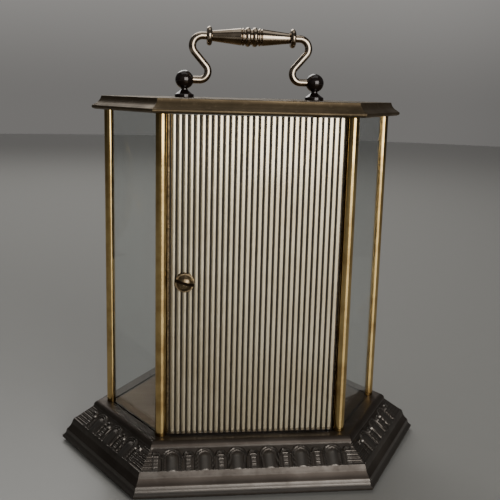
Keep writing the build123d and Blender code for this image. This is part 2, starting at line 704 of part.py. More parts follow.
def motor_stator():
    """Core through the coil, two ends, and the yoke that the rotor's hole is in."""
    x0, x1 = MOTOR_X - MOTOR_HALF, MOTOR_X + MOTOR_HALF
    y0, y1 = COIL_Y - SHEET_HALF, COIL_Y + SHEET_HALF
    foot, head = COIL_Z - CORE_HALF, COIL_Z + 12.0
    stator = block(x0, x1, y0, y1, foot, COIL_Z + CORE_HALF)
    stator += block(x0, x1, y0, y1, COIL_Z + 5.5, head)
    for x in (x0, x1):
        stator += block(x - 1.2, x + 1.2, y0, y1, foot, head)
    return stator - cylinder_y(ROTOR_HOLE_R, y0 - 1, y1 + 1, MOTOR_X, COIL_Z + 8.7)


# ---------------------------------------------------------------- motion work
def gear(teeth, module, thickness, phase=0.0):
    """A thin-toothed spur gear on the XY plane, with one tooth's middle at the angle `phase`."""
    pitch_r = teeth * module / 2
    base_r = pitch_r * math.cos(GEAR_PRESSURE)
    tip_r = pitch_r + 0.75 * module
    root_r = pitch_r - 1.15 * module
    half_tooth = 0.78 * math.pi / (2 * teeth)  # thinner than half a pitch, for backlash

    def involute(radius):
        lean = math.acos(min(1.0, base_r / radius))
        return math.tan(lean) - lean

    def flank(radius):
        return half_tooth + involute(pitch_r) - involute(max(radius, base_r))

    def at(radius, angle):
        return (radius * math.cos(angle), radius * math.sin(angle))

    points = []
    for i in range(teeth):
        middle = math.radians(phase) + 2 * math.pi * i / teeth
        start_r = max(base_r, root_r + 0.01)
        mid_r = (start_r + tip_r) / 2
        points.append(at(root_r, middle - flank(start_r)))
        points.append(at(start_r, middle - flank(start_r)))
        points.append((*at(tip_r, middle - flank(tip_r)), *at(mid_r, middle - flank(mid_r))))
        points.append(at(tip_r, middle + flank(tip_r)))
        points.append((*at(start_r, middle + flank(start_r)), *at(mid_r, middle + flank(mid_r))))
        points.append(at(root_r, middle + flank(start_r)))
    return extrude(outline(points, Plane.XY), thickness)


def gear_y(teeth, module, y0, thickness, x, z, phase):
    """The same gear on the axis through (x, z) along Y. phase is measured from +X towards +Z."""
    lying = Rot(90, 0, 0) * gear(teeth, module, thickness, phase)
    return Pos(x, y0 + thickness, z) * lying


HAND_GAP = 0.9
HOUR_HAND_Y = PLATE_Y - 6.4
MINUTE_HAND_Y = HOUR_HAND_Y - HAND_GAP - 0.8
HAND_T = 0.4
ARBOR_R = 1.2
ARBOR_TIP = 1.8  # how far the arbor stands past the minute hand's back
HOUR_PIPE_R = 2.4
SETTING_KNOB_R = 5.0
KNOB_NOTCHES = 18


def hand(length, width, boss_r, bore, clock_degrees):
    """A flat leaf-shaped hand pointing to a clock angle, its back face at y = 0."""
    leaf = outline(
        [
            (-width * 0.22, -length * 0.16),
            (-width * 0.22, length * 0.42),
            (0, length, -width * 0.5, length * 0.66),
            (width * 0.22, length * 0.42, width * 0.5, length * 0.66),
            (width * 0.22, -length * 0.16),
        ],
        Plane.XZ,
    )
    blade = extrude(leaf, HAND_T) + cylinder_y(boss_r, -HAND_T, 0) - cylinder_y(bore, -2, 2)
    return Rot(0, clock_degrees, 0) * blade


def build_motion_work():
    wx, wz = minute_wheel_axis()
    module_a = 2 * GEAR_CENTRES / (CANNON_TEETH + MINUTE_WHEEL_TEETH)
    module_b = 2 * GEAR_CENTRES / (MINUTE_PINION_TEETH + HOUR_WHEEL_TEETH)
    towards = MINUTE_WHEEL_TURN
    lower_y, upper_y = CASE_Y0 + 6.2, CASE_Y0 + 2.2

    cannon = gear_y(CANNON_TEETH, module_a, lower_y, 2.0, 0, DIAL_Z, towards)
    cannon += cylinder_y(ARBOR_R, MINUTE_HAND_Y - ARBOR_TIP, lower_y, 0, DIAL_Z)
    cannon += cylinder_y(1.0, lower_y + 2.0, CASE_Y1 - SHELL + 0.4, 0, DIAL_Z)
    save(cannon, "minute_arbor")
    minute = hand(33.0, 4.6, 2.4, ARBOR_R, MINUTE_HAND_TURN)
    save(Pos(0, MINUTE_HAND_Y, DIAL_Z) * minute, "minute_hand")
    cap = cylinder_y(2.1, MINUTE_HAND_Y - HAND_T - 2.0, MINUTE_HAND_Y - HAND_T, 0, DIAL_Z)
    save(cap - cylinder_y(ARBOR_R, MINUTE_HAND_Y - ARBOR_TIP, 0, 0, DIAL_Z), "hand_cap")

    gap_turn = 180.0 / HOUR_WHEEL_TEETH
    hour = gear_y(HOUR_WHEEL_TEETH, module_b, upper_y, 1.6, 0, DIAL_Z, towards + gap_turn)
    hour += cylinder_y(HOUR_PIPE_R, HOUR_HAND_Y - 0.6, upper_y, 0, DIAL_Z)
    save(hour - cylinder_y(ARBOR_R + RUNNING, HOUR_HAND_Y - 2, upper_y + 3, 0, DIAL_Z), "hour_wheel")
    hour = hand(23.0, 6.4, 4.0, HOUR_PIPE_R, HOUR_HAND_TURN)
    save(Pos(0, HOUR_HAND_Y, DIAL_Z) * hour, "hour_hand")

    back_towards = towards + 180.0
    mesh_turn = back_towards + 180.0 / MINUTE_WHEEL_TEETH
    wheel = gear_y(MINUTE_WHEEL_TEETH, module_a, lower_y, 1.6, wx, wz, mesh_turn)
    wheel += gear_y(MINUTE_PINION_TEETH, module_b, upper_y - 0.3, 4.3, wx, wz, back_towards)
    wheel += cylinder_y(1.0, lower_y, CASE_Y1 + 3.0, wx, wz)
    wheel += cylinder_y(0.8, CASE_Y0 + SHELL + 0.1, upper_y, wx, wz)
    save(wheel, "minute_wheel")

    knob = cylinder_y(SETTING_KNOB_R, CASE_Y1 + 0.5, CASE_Y1 + 5.0, wx, wz)
    notch_ring = SETTING_KNOB_R + 0.2
    for i in range(KNOB_NOTCHES):
        turn = math.tau * i / KNOB_NOTCHES
        notch_x, notch_z = wx + notch_ring * math.cos(turn), wz + notch_ring * math.sin(turn)
        knob -= cylinder_y(0.5, CASE_Y1, CASE_Y1 + 6.0, notch_x, notch_z)
    save(knob - cylinder_y(1.0, CASE_Y1, CASE_Y1 + 3.0, wx, wz), "setting_knob")


# ---------------------------------------------------------------- rotary pendulum
HUB_R = 3.4
ARM_R = 0.9
STEM_R = 0.8
CUP_R = 5.0


def build_pendulum():
    hub_z0, hub_z1 = PENDULUM_Z - 14, PENDULUM_Z + 14
    rod = cylinder(STEM_R, hub_z1, PLATFORM_Z - 8) + cylinder(TOP_PIVOT_R, PLATFORM_Z - 8, PLATFORM_Z + 9.5)
    save(rod, "pendulum_rod")

    hub = turned(
        [
            (0, hub_z0 - 4),
            (1.2, hub_z0 - 4),
            (1.2, hub_z0),
            (4.5, hub_z0 + 2),
            (2.2, hub_z0 + 6, 4.2, hub_z0 + 4.5),
            (HUB_R, PENDULUM_Z - 3, 2.2, hub_z0 + 9),
            (HUB_R, PENDULUM_Z + 3),
            (2.2, PENDULUM_Z + 6, 2.5, PENDULUM_Z + 4),
            (1.6, hub_z1 - 3),
            (3.0, hub_z1 - 1.5),
            (STEM_R, hub_z1),
            (0, hub_z1),
        ]
    )
    guide_pin = cylinder(STEM_R, LEDGE_Z + 2.5, hub_z0 - 4)
    save(hub + guide_pin, "pendulum_hub")

    arms, balls = [], []
    arm_length = PENDULUM_ARM - PENDULUM_BALL_R + 2.5 - HUB_R
    arm = Rot(0, 90, 0) * Cylinder(ARM_R, arm_length, align=(Align.CENTER, Align.CENTER, Align.MIN))
    arm = Pos(HUB_R, 0, PENDULUM_Z) * arm
    ball = Pos(PENDULUM_ARM, 0, PENDULUM_Z) * Sphere(PENDULUM_BALL_R) - arm
    for i in range(PENDULUM_BALLS):
        turn = Rot(0, 0, 45 + 360 / PENDULUM_BALLS * i)
        arms.append(turn * arm)
        balls.append(turn * ball)
    save(Compound(children=arms), "pendulum_arms")
    save(Compound(children=balls), "pendulum_balls")

    cup = cylinder(CUP_R, LEDGE_Z, LEDGE_Z + 6.0) - cylinder(2.4, LEDGE_Z + 1.5, LEDGE_Z + 7.0)
    save(cup, "pendulum_guide")


os.makedirs(OUT, exist_ok=True)
build_base()
build_posts_and_glass()
build_top()
build_handle()
build_door()
build_latch()
build_stand()
build_movement()
build_motion_work()
build_pendulum()
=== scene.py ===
import json
import math

import bmesh
import bpy
import numpy as np
from mathutils import Matrix, Vector


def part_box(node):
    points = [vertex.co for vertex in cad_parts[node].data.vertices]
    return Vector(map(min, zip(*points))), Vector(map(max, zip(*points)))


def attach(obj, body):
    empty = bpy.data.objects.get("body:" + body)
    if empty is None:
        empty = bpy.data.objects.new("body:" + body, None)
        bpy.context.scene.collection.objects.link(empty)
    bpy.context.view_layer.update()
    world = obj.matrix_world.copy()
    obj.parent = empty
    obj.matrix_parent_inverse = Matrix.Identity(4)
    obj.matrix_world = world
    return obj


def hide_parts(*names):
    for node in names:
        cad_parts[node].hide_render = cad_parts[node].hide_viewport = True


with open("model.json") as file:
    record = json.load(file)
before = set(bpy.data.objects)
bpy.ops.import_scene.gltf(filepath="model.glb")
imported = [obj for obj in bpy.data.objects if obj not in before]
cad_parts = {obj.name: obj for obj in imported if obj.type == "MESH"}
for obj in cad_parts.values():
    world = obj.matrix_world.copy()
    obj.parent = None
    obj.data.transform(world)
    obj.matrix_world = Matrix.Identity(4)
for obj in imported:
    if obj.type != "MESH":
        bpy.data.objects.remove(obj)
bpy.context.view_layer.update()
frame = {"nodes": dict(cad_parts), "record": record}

# Lengths below are in millimetres, like the clock's drawing. mesh_from() turns them into metres.
MM = 0.001


def box_mm(node):
    low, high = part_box(node)
    return np.array(low) / MM, np.array(high) / MM


def centre_mm(node):
    low, high = box_mm(node)
    return (low + high) / 2


def put(name, data):
    """A new object in the scene."""
    obj = bpy.data.objects.new(name, data)
    bpy.context.scene.collection.objects.link(obj)
    return obj


# ---------------------------------------------------------------- camera
CAMERA_PLACE = (0.0459, 0.4185, 0.2101)
CAMERA_YAW, CAMERA_PITCH, CAMERA_ROLL = -0.1207, 0.1798, 0.0266
LENS = 52.1
SHIFT = (-0.0098, -0.053)


def make_camera():
    data = bpy.data.cameras.new("camera")
    data.lens = LENS
    data.shift_x, data.shift_y = SHIFT
    data.clip_start = 0.01
    camera = put("camera", data)
    turn = Matrix.Rotation(CAMERA_YAW, 3, "Z")
    ahead, right, up = turn @ Vector((0, -1, 0)), turn @ Vector((-1, 0, 0)), Vector((0, 0, 1))
    cp, sp = math.cos(CAMERA_PITCH), math.sin(CAMERA_PITCH)
    ahead, up = cp * ahead - sp * up, cp * up + sp * ahead
    cr, sr = math.cos(CAMERA_ROLL), math.sin(CAMERA_ROLL)
    right, up = cr * right + sr * up, cr * up - sr * right
    rows = Matrix((right, up, -ahead)).transposed().to_4x4()
    rows.translation = Vector(CAMERA_PLACE)
    camera.matrix_world = rows
    bpy.context.scene.camera = camera


# ---------------------------------------------------------------- node helpers
class Graph:
    """A node tree under construction."""

    def __init__(self, tree):
        self.tree = tree

    def feed(self, socket, value):
        if isinstance(value, bpy.types.NodeSocket):
            self.tree.links.new(value, socket)
        else:
            socket.default_value = value

    def add(self, kind, links=(), **settings):
        """A node. links pairs its input names or numbers with sockets or values."""
        made = self.tree.nodes.new(kind)
        for key, value in settings.items():
            setattr(made, key, value)
        for key, value in dict(links).items():
            self.feed(made.inputs[key], value)
        return made

    def maths(self, operation, a, b):
        return self.add("ShaderNodeMath", {0: a, 1: b}, operation=operation).outputs[0]

    def split(self, vector):
        return self.add("ShaderNodeSeparateXYZ", {0: vector}).outputs

    def span(self, value, from_low, from_high, to_low=0.0, to_high=1.0, **settings):
        links = {"Value": value, "From Min": from_low, "From Max": from_high,
                 "To Min": to_low, "To Max": to_high}
        return self.add("ShaderNodeMapRange", links, **settings).outputs["Result"]


class Shader(Graph):
    """A material. Places are read from Object coordinates, in metres."""

    def __init__(self, name, **fixed):
        self.material = bpy.data.materials.new(name)
        self.material.use_nodes = True
        super().__init__(self.material.node_tree)
        self.bsdf = self.tree.nodes["Principled BSDF"]
        self.done(**fixed)
        self.coords = self.add("ShaderNodeTexCoord").outputs["Object"]

    def noise(self, scale, detail=4.0, stretch=None, rough=0.55):
        place = self.coords
        if stretch:
            place = self.add("ShaderNodeMapping", {"Vector": place, "Scale": stretch}).outputs["Vector"]
        links = {"Vector": place, "Scale": scale, "Detail": detail, "Roughness": rough}
        return self.add("ShaderNodeTexNoise", links).outputs["Fac"]

    def attribute(self, name):
        return self.add("ShaderNodeAttribute", attribute_name=name).outputs["Fac"]

    def blend(self, amount, low, high):
        """low where amount is 0, high where it is 1. Sockets 6, 7 and output 2 are the node's colours."""
        return self.add("ShaderNodeMix", {0: amount, 6: low, 7: high}, data_type="RGBA").outputs[2]

    def bump(self, height, distance, strength=1.0, under=None):
        links = {"Height": height, "Distance": distance, "Strength": strength}
        if under:
            links["Normal"] = under
        return self.add("ShaderNodeBump", links).outputs["Normal"]

    def done(self, **values):
        """Sets or links the surface's inputs, and gives the material."""
        for key, value in values.items():
            self.feed(self.bsdf.inputs[key.replace("_", " ")], value)
        return self.material


def rgb(red, green, blue):
    return (red, green, blue, 1.0)


# ---------------------------------------------------------------- finishes
def polished_metal(name, pale, deep, roughness, blotch=90.0, handled=0.25, bump=1.5e-6):
    """Bare polished brass or nickel: clouds of tarnish, rubbed streaks and small handling marks."""
    s = Shader(name, Metallic=1.0)
    clouds = s.noise(blotch, 5.0)
    marks = s.noise(1100.0, 3.0)
    tint = s.blend(s.span(clouds, 0.42, 0.72), pale, deep)
    worn = s.span(s.noise(blotch * 3.1, 6.0), 0.45, 0.75)
    rough = s.span(s.maths("ADD", worn, s.maths("MULTIPLY", marks, handled)), 0.0, 1.3,
                   roughness, roughness * 2.1 + 0.03)
    return s.done(Base_Color=tint, Roughness=rough, Normal=s.bump(marks, bump))


def brushed_metal(name, pale, deep, roughness, grain):
    """Satin sheet with a straight grain. grain is the noise's stretch along X, Y and Z."""
    s = Shader(name, Metallic=1.0)
    lines = s.noise(900.0, 4.0, stretch=grain)
    tint = s.blend(s.span(s.noise(60.0, 5.0), 0.35, 0.75), pale, deep)
    rough = s.span(lines, 0.3, 0.7, roughness * 0.8, roughness * 1.3)
    return s.done(Base_Color=tint, Roughness=rough, Normal=s.bump(lines, 8e-6))


def antiqued_casting():
    """Dark-stained cast metal, rubbed back to pewter where the mesh's "relief" says that it stands proud."""
    s = Shader("antiqued_pewter", Metallic=0.85)
    proud = s.attribute("relief")
    stain = s.noise(140.0, 6.0, rough=0.62)
    rubbed = s.maths("ADD", proud, s.span(stain, 0.3, 0.7, -0.22, 0.22))
    low = s.blend(s.span(s.noise(35.0, 4.0), 0.35, 0.7), rgb(0.055, 0.044, 0.036), rgb(0.092, 0.076, 0.064))
    high = s.blend(s.span(stain, 0.3, 0.75), rgb(0.165, 0.151, 0.136), rgb(0.115, 0.104, 0.093))
    tint = s.blend(s.span(rubbed, 0.12, 0.85), low, high)
    grit = s.noise(3200.0, 4.0)
    rough = s.span(rubbed, 0.1, 0.9, 0.52, 0.33)
    pits = s.bump(s.noise(900.0, 5.0), 5e-5, 0.5)
    return s.done(Base_Color=tint, Roughness=rough, Normal=s.bump(grit, 1.5e-5, 0.6, pits))


def aged_slab_brass():
    s = Shader("aged_olive_brass", Metallic=0.9)
    clouds = s.noise(38.0, 6.0, rough=0.65)
    fine = s.noise(420.0, 6.0)
    tint = s.blend(s.span(clouds, 0.32, 0.7), rgb(0.150, 0.110, 0.062), rgb(0.078, 0.056, 0.032))
    tint = s.blend(s.span(fine, 0.58, 0.85), tint, rgb(0.24, 0.18, 0.11))
    rough = s.span(clouds, 0.3, 0.7, 0.40, 0.58)
    return s.done(Base_Color=tint, Roughness=rough, Normal=s.bump(fine, 2.5e-5, 0.5))


# Depths at which the grooves' grime and painted shade start and are full.
GROOVE_GRIME_AND_SHADE_NONE, GROOVE_GRIME_AND_SHADE_FULL = 0.00015, 0.00055  # metres below the reeds' crowns


def reeded_brass():
    """Pale polished sheet rolled into reeds: drawing lines along them, specks, and grime with painted shade
    low between them.
    """
    s = Shader("champagne_brass")
    drawn = s.noise(700.0, 4.0, stretch=(1.0, 1.0, 0.03))
    specks = s.span(s.noise(1500.0, 2.0), 0.70, 0.76)
    tint = s.blend(s.span(s.noise(45.0, 4.0), 0.3, 0.75), rgb(0.66, 0.585, 0.435), rgb(0.53, 0.445, 0.305))
    tint = s.blend(specks, tint, rgb(0.26, 0.20, 0.12))
    face = float(box_mm("door_panel")[1][1]) * MM
    # Darker deeper in the grooves: grime and painted shade between the reeds.
    grime = s.span(s.split(s.coords)["Y"], face - GROOVE_GRIME_AND_SHADE_FULL, face - GROOVE_GRIME_AND_SHADE_NONE, 1.0, 0.0)
    tint = s.blend(grime, tint, rgb(0.020, 0.014, 0.008))
    rough = s.span(drawn, 0.3, 0.7, 0.11, 0.20)
    rough = s.maths("ADD", rough, s.maths("MULTIPLY", grime, 0.35))
    return s.done(Base_Color=tint, Roughness=rough, Metallic=s.span(grime, 0.0, 1.0, 1.0, 0.3),
                  Normal=s.bump(drawn, 6e-6, 0.7))


def blackened_metal():
    s = Shader("blackened_brass", Metallic=0.5, Coat_Weight=0.7, Coat_Roughness=0.06)
    rub = s.noise(520.0, 6.0)
    tint = s.blend(s.span(rub, 0.62, 0.8), rgb(0.020, 0.013, 0.011), rgb(0.075, 0.050, 0.035))
    return s.done(Base_Color=tint, Roughness=s.span(rub, 0.3, 0.7, 0.13, 0.22), Normal=s.bump(rub, 6e-6, 0.5))


def knob_brass():
    s = Shader("aged_knob_brass", Metallic=1.0)
    grime = s.noise(430.0, 6.0, rough=0.65)
    scratch = s.noise(1800.0, 3.0, stretch=(1.0, 0.15, 0.35))
    tint = s.blend(s.span(grime, 0.35, 0.68), rgb(0.36, 0.27, 0.155), rgb(0.080, 0.056, 0.034))
    # Painted shade: the slot's floor and upper wall are darkened to near black.
    tint = s.blend(s.attribute("slot_painted_shade"), tint, rgb(0.012, 0.008, 0.005))
    rough = s.span(grime, 0.3, 0.7, 0.20, 0.42)
    return s.done(Base_Color=tint, Roughness=rough, Normal=s.bump(scratch, 1.6e-5, 0.7))


def clear_glass():
    s = Shader("clear_glass", IOR=1.48, Transmission_Weight=1.0)
    smear = s.noise(24.0, 5.0)
    tint = s.blend(s.span(smear, 0.3, 0.8), rgb(0.97, 0.985, 0.98), rgb(0.93, 0.955, 0.95))
    return s.done(Base_Color=tint, Roughness=s.span(smear, 0.55, 0.8, 0.0, 0.035))


def moulded_plastic(name, pale, deep, roughness):
    s = Shader(name)
    grain = s.noise(2600.0, 3.0)
    tint = s.blend(s.span(s.noise(120.0, 4.0), 0.3, 0.7), pale, deep)
    return s.done(Base_Color=tint, Roughness=s.span(grain, 0.2, 0.8, roughness, roughness + 0.16),
                  Normal=s.bump(grain, 1.2e-5, 0.7))


def enamel():
    s = Shader("cream_enamel", Coat_Weight=0.6, Coat_Roughness=0.08)
    tint = s.blend(s.span(s.noise(70.0, 4.0), 0.3, 0.7), rgb(0.83, 0.79, 0.69), rgb(0.77, 0.72, 0.61))
    return s.done(Base_Color=tint, Roughness=s.span(s.noise(400.0, 3.0), 0.3, 0.7, 0.3, 0.42))


def printed_black():
    s = Shader("black_lacquer", Coat_Weight=0.4, Coat_Roughness=0.1)
    dust = s.noise(1900.0, 3.0)
    tint = s.blend(s.span(dust, 0.6, 0.8), rgb(0.010, 0.010, 0.011), rgb(0.04, 0.038, 0.035))
    return s.done(Base_Color=tint, Roughness=s.span(dust, 0.3, 0.7, 0.25, 0.38))


def plated_steel():
    s = Shader("zinc_plated_steel", Metallic=1.0)
    grain = s.noise(800.0, 5.0)
    tint = s.blend(s.span(grain, 0.35, 0.7), rgb(0.58, 0.57, 0.55), rgb(0.44, 0.43, 0.42))
    rough = s.span(grain, 0.3, 0.7, 0.24, 0.4)
    return s.done(Base_Color=tint, Roughness=rough, Normal=s.bump(grain, 6e-6, 0.5))


def felt():
    s = Shader("green_felt", Sheen_Weight=0.6, Sheen_Roughness=0.6)
    fibres = s.noise(2300.0, 6.0, rough=0.7)
    tint = s.blend(s.span(fibres, 0.3, 0.7), rgb(0.012, 0.045, 0.026), rgb(0.035, 0.10, 0.058))
    rough = s.span(fibres, 0.2, 0.8, 0.85, 1.0)
    return s.done(Base_Color=tint, Roughness=rough, Normal=s.bump(fibres, 1.2e-4))


def hardboard():
    s = Shader("hardboard")
    fibres = s.noise(900.0, 6.0, stretch=(1.0, 0.5, 1.0))
    tint = s.blend(s.span(fibres, 0.3, 0.7), rgb(0.20, 0.125, 0.07), rgb(0.11, 0.065, 0.035))
    return s.done(Base_Color=tint, Roughness=s.span(fibres, 0.3, 0.7, 0.6, 0.8), Normal=s.bump(fibres, 4e-5))


def wound_copper():
    s = Shader("wound_copper", Metallic=0.8)
    wave = s.add("ShaderNodeTexWave", {"Vector": s.coords, "Scale": 900.0}, bands_direction="X")
    turns = wave.outputs["Fac"]
    # Painted shade: the bands are darker between the wire's turns, where the bump dips.
    tint = s.blend(turns, rgb(0.20, 0.055, 0.02), rgb(0.62, 0.25, 0.10))
    return s.done(Base_Color=tint, Roughness=s.span(turns, 0, 1, 0.45, 0.25), Normal=s.bump(turns, 6e-5))


def circuit_laminate():
    s = Shader("circuit_laminate")
    tracks = s.add("ShaderNodeTexBrick", {"Vector": s.coords, "Scale": 420.0, "Mortar Size": 0.05})
    tint = s.blend(tracks.outputs["Fac"], rgb(0.010, 0.075, 0.035), rgb(0.05, 0.20, 0.09))
    return s.done(Base_Color=tint, Roughness=s.span(s.noise(600.0), 0.3, 0.7, 0.25, 0.4))


def battery_sleeve():
    """A plain dark sleeve with a copper-coloured end towards +X."""
    s = Shader("battery_sleeve", Metallic=0.35, Coat_Weight=0.5, Coat_Roughness=0.12)
    end = s.span(s.split(s.coords)["X"], 0.0118, 0.0122)
    tint = s.blend(end, rgb(0.014, 0.014, 0.016), rgb(0.55, 0.27, 0.11))
    tint = s.blend(s.span(s.noise(300.0), 0.4, 0.9, 0.0, 0.25), tint, rgb(0.10, 0.09, 0.08))
    return s.done(Base_Color=tint, Roughness=s.span(s.noise(800.0), 0.3, 0.7, 0.22, 0.34))


FINISH = {
    "cast_pewter": antiqued_casting(),
    "aged_bronze": aged_slab_brass(),
    "polished_brass": polished_metal(
        "polished_brass", rgb(0.78, 0.56, 0.235), rgb(0.44, 0.275, 0.10), 0.065, handled=0.15, bump=3e-7),
    "champagne_brass": reeded_brass(),
    "brushed_brass": brushed_metal(
        "satin_brass_sheet", rgb(0.120, 0.082, 0.048), rgb(0.080, 0.054, 0.031), 0.42, (0.05, 1.0, 1.0)),
    "aged_brass": knob_brass(),
    "nickel_brass": polished_metal(
        "pale_handle_brass", rgb(0.47, 0.39, 0.30), rgb(0.28, 0.215, 0.15), 0.045, 160.0, 0.05, 1e-7),
    "blackened_brass": blackened_metal(),
    "steel": plated_steel(),
    "board": hardboard(),
    "felt": felt(),
    "glass": clear_glass(),
    "dial_white": enamel(),
    "hand_black": printed_black(),
    "hand_cap_brass": polished_metal("hand_cap_brass", rgb(0.74, 0.55, 0.26), rgb(0.6, 0.42, 0.18), 0.12),
    "movement_plastic": moulded_plastic(
        "black_moulding", rgb(0.022, 0.022, 0.024), rgb(0.035, 0.034, 0.034), 0.38),
    "gear_plastic": moulded_plastic(
        "natural_moulding", rgb(0.78, 0.76, 0.70), rgb(0.70, 0.68, 0.60), 0.30),
    "coil_copper": wound_copper(),
    "circuit_green": circuit_laminate(),
    "battery_wrap": battery_sleeve(),
}
SLOT_OF = {entry["node"]: entry["material_slot"] for entry in frame["record"]["subparts"]}
BODY_OF = {n: b for b, members in frame["record"]["behaviour"]["bodies"].items() for n in members}


# ---------------------------------------------------------------- mesh helpers
def piece(name, mesh, nodes, soft_angle=35.0, slot=None, body=None):
    """Links a mesh as the piece that stands for these CAD nodes. soft_angle None keeps its own normals."""
    obj = put(name, mesh)
    slot = slot or SLOT_OF[nodes[0]]
    if not mesh.materials:
        mesh.materials.append(FINISH[slot])
    if soft_angle is not None:
        shade_smooth(mesh)
        mesh.set_sharp_from_angle(angle=math.radians(soft_angle))
    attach(obj, body or BODY_OF[nodes[0]])
    if nodes:
        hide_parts(*nodes)


def shade_smooth(mesh):
    mesh.polygons.foreach_set("use_smooth", [True] * len(mesh.polygons))


def mesh_from(name, points, faces):
    """A mesh from points in millimetres."""
    mesh = bpy.data.meshes.new(name)
    mesh.from_pydata((np.asarray(points, float) * MM).tolist(), [], faces)
    mesh.validate()
    return mesh


def join_meshes(name, meshes):
    """One mesh from several, in metres already."""
    work = bmesh.new()
    for mesh in meshes:
        work.from_mesh(mesh)
    joined = bpy.data.meshes.new(name)
    work.to_mesh(joined)
    work.free()
    return joined


def arc(start, middle, end, steps):
    """Points along the arc through three points, without the first."""
    (ax, ay), (bx, by), (cx, cy) = start, middle, end
    d = 2 * (ax * (by - cy) + bx * (cy - ay) + cx * (ay - by))
    a2, b2, c2 = ax * ax + ay * ay, bx * bx + by * by, cx * cx + cy * cy
    ox = (a2 * (by - cy) + b2 * (cy - ay) + c2 * (ay - by)) / d
    oy = (a2 * (cx - bx) + b2 * (ax - cx) + c2 * (bx - ax)) / d
    radius = math.hypot(ax - ox, ay - oy)
    t0, t1, t2 = (math.atan2(y - oy, x - ox) for x, y in (start, middle, end))
    way = 1 if (t1 - t0) % math.tau < (t2 - t0) % math.tau else -1
    sweep = (way * (t2 - t0)) % math.tau
    angles = [t0 + way * sweep * i / steps for i in range(1, steps + 1)]
    return [(ox + radius * math.cos(t), oy + radius * math.sin(t)) for t in angles]


def rounded(profile, steps=8):
    """A profile with its four-value corners opened into arcs through their last two values."""
    points = [tuple(profile[0][:2])]
    for corner in profile[1:]:
        if len(corner) == 4:
            points += arc(points[-1], corner[2:], corner[:2], steps)
        else:
            points.append(tuple(corner))
    return points


def lathe(profile, centre=(0, 0, 0), axis="Z", segments=64, ring=False):
    """A solid of revolution from (radius, height) corners. ring joins the last corner to the first."""
    turn = np.linspace(0, math.tau, segments, endpoint=False)
    points, rings = [], []
    for radius, height in rounded(profile):
        if radius < 1e-6:
            rings.append([len(points)])
            points.append((0.0, 0.0, height))
        else:
            rings.append(list(range(len(points), len(points) + segments)))
            points += [(radius * math.cos(t), radius * math.sin(t), height) for t in turn]
    faces = []
    pairs = list(zip(rings, rings[1:])) + ([(rings[-1], rings[0])] if ring else [])
    for low, high in pairs:
        for i in range(segments):
            j = (i + 1) % segments
            corners = [low[i % len(low)], low[j % len(low)], high[j % len(high)], high[i % len(high)]]
            face = list(dict.fromkeys(corners))
            if len(face) > 2:
                faces.append(face)
    points = np.array(points)
    if axis == "Y":
        points = points[:, [0, 2, 1]] * (1, 1, -1)
    if axis == "X":
        points = points[:, [2, 0, 1]]
    return fix_normals(mesh_from("turned", points + np.array(centre, float), faces))


def fix_normals(mesh):
    work = bmesh.new()
    work.from_mesh(mesh)
    bmesh.ops.remove_doubles(work, verts=work.verts, dist=1e-7)
    bmesh.ops.recalc_face_normals(work, faces=work.faces)
    work.to_mesh(mesh)
    work.free()
    return mesh


def plain_mesh(obj):
    """The mesh that an object's modifiers make. The object itself goes."""
    bpy.context.view_layer.update()
    result = bpy.data.meshes.new_from_object(obj.evaluated_get(bpy.context.evaluated_depsgraph_get()))
    bpy.data.objects.remove(obj)
    return result


def modified(mesh, *modifiers):
    """A mesh after modifiers, given as (kind, settings) pairs."""
    obj = put("work", mesh)
    for kind, settings in modifiers:
        modifier = obj.modifiers.new(kind, kind)
        for key, value in settings.items():
            setattr(modifier, key, value)
    return plain_mesh(obj)


def break_edges(mesh, width, angle, weight):
    """Bevels the edges sharper than angle by a width in millimetres, and keeps flat faces shaded flat."""
    limit = {"limit_method": "ANGLE", "angle_limit": math.radians(angle)}
    return modified(mesh, ("BEVEL", {"width": width * MM, "segments": 2, **limit}),
                    ("WEIGHTED_NORMAL", {"weight": weight, "keep_sharp": True}))


def merged_copy(node):
    """A CAD node's mesh with its loose triangles joined and its flat faces made one."""
    mesh = frame["nodes"][node].data.copy()
    mesh.materials.clear()
    work = bmesh.new()
    work.from_mesh(mesh)
    bmesh.ops.remove_doubles(work, verts=work.verts, dist=2e-6)
    bmesh.ops.dissolve_limit(work, angle_limit=math.radians(0.5), verts=work.verts, edges=work.edges)
    work.to_mesh(mesh)
    work.free()
    return mesh


def refine(node, edge):
    """A CAD node with its sharp edges broken, its curved faces shaded smooth and its flat faces flat."""
    mesh = merged_copy(node)
    if edge:
        shade_smooth(mesh)
        piece(node + "_finished", break_edges(mesh, edge, 50.0, 100), [node], soft_angle=None)
    else:
        piece(node + "_finished", mesh, [node], soft_angle=32.0)


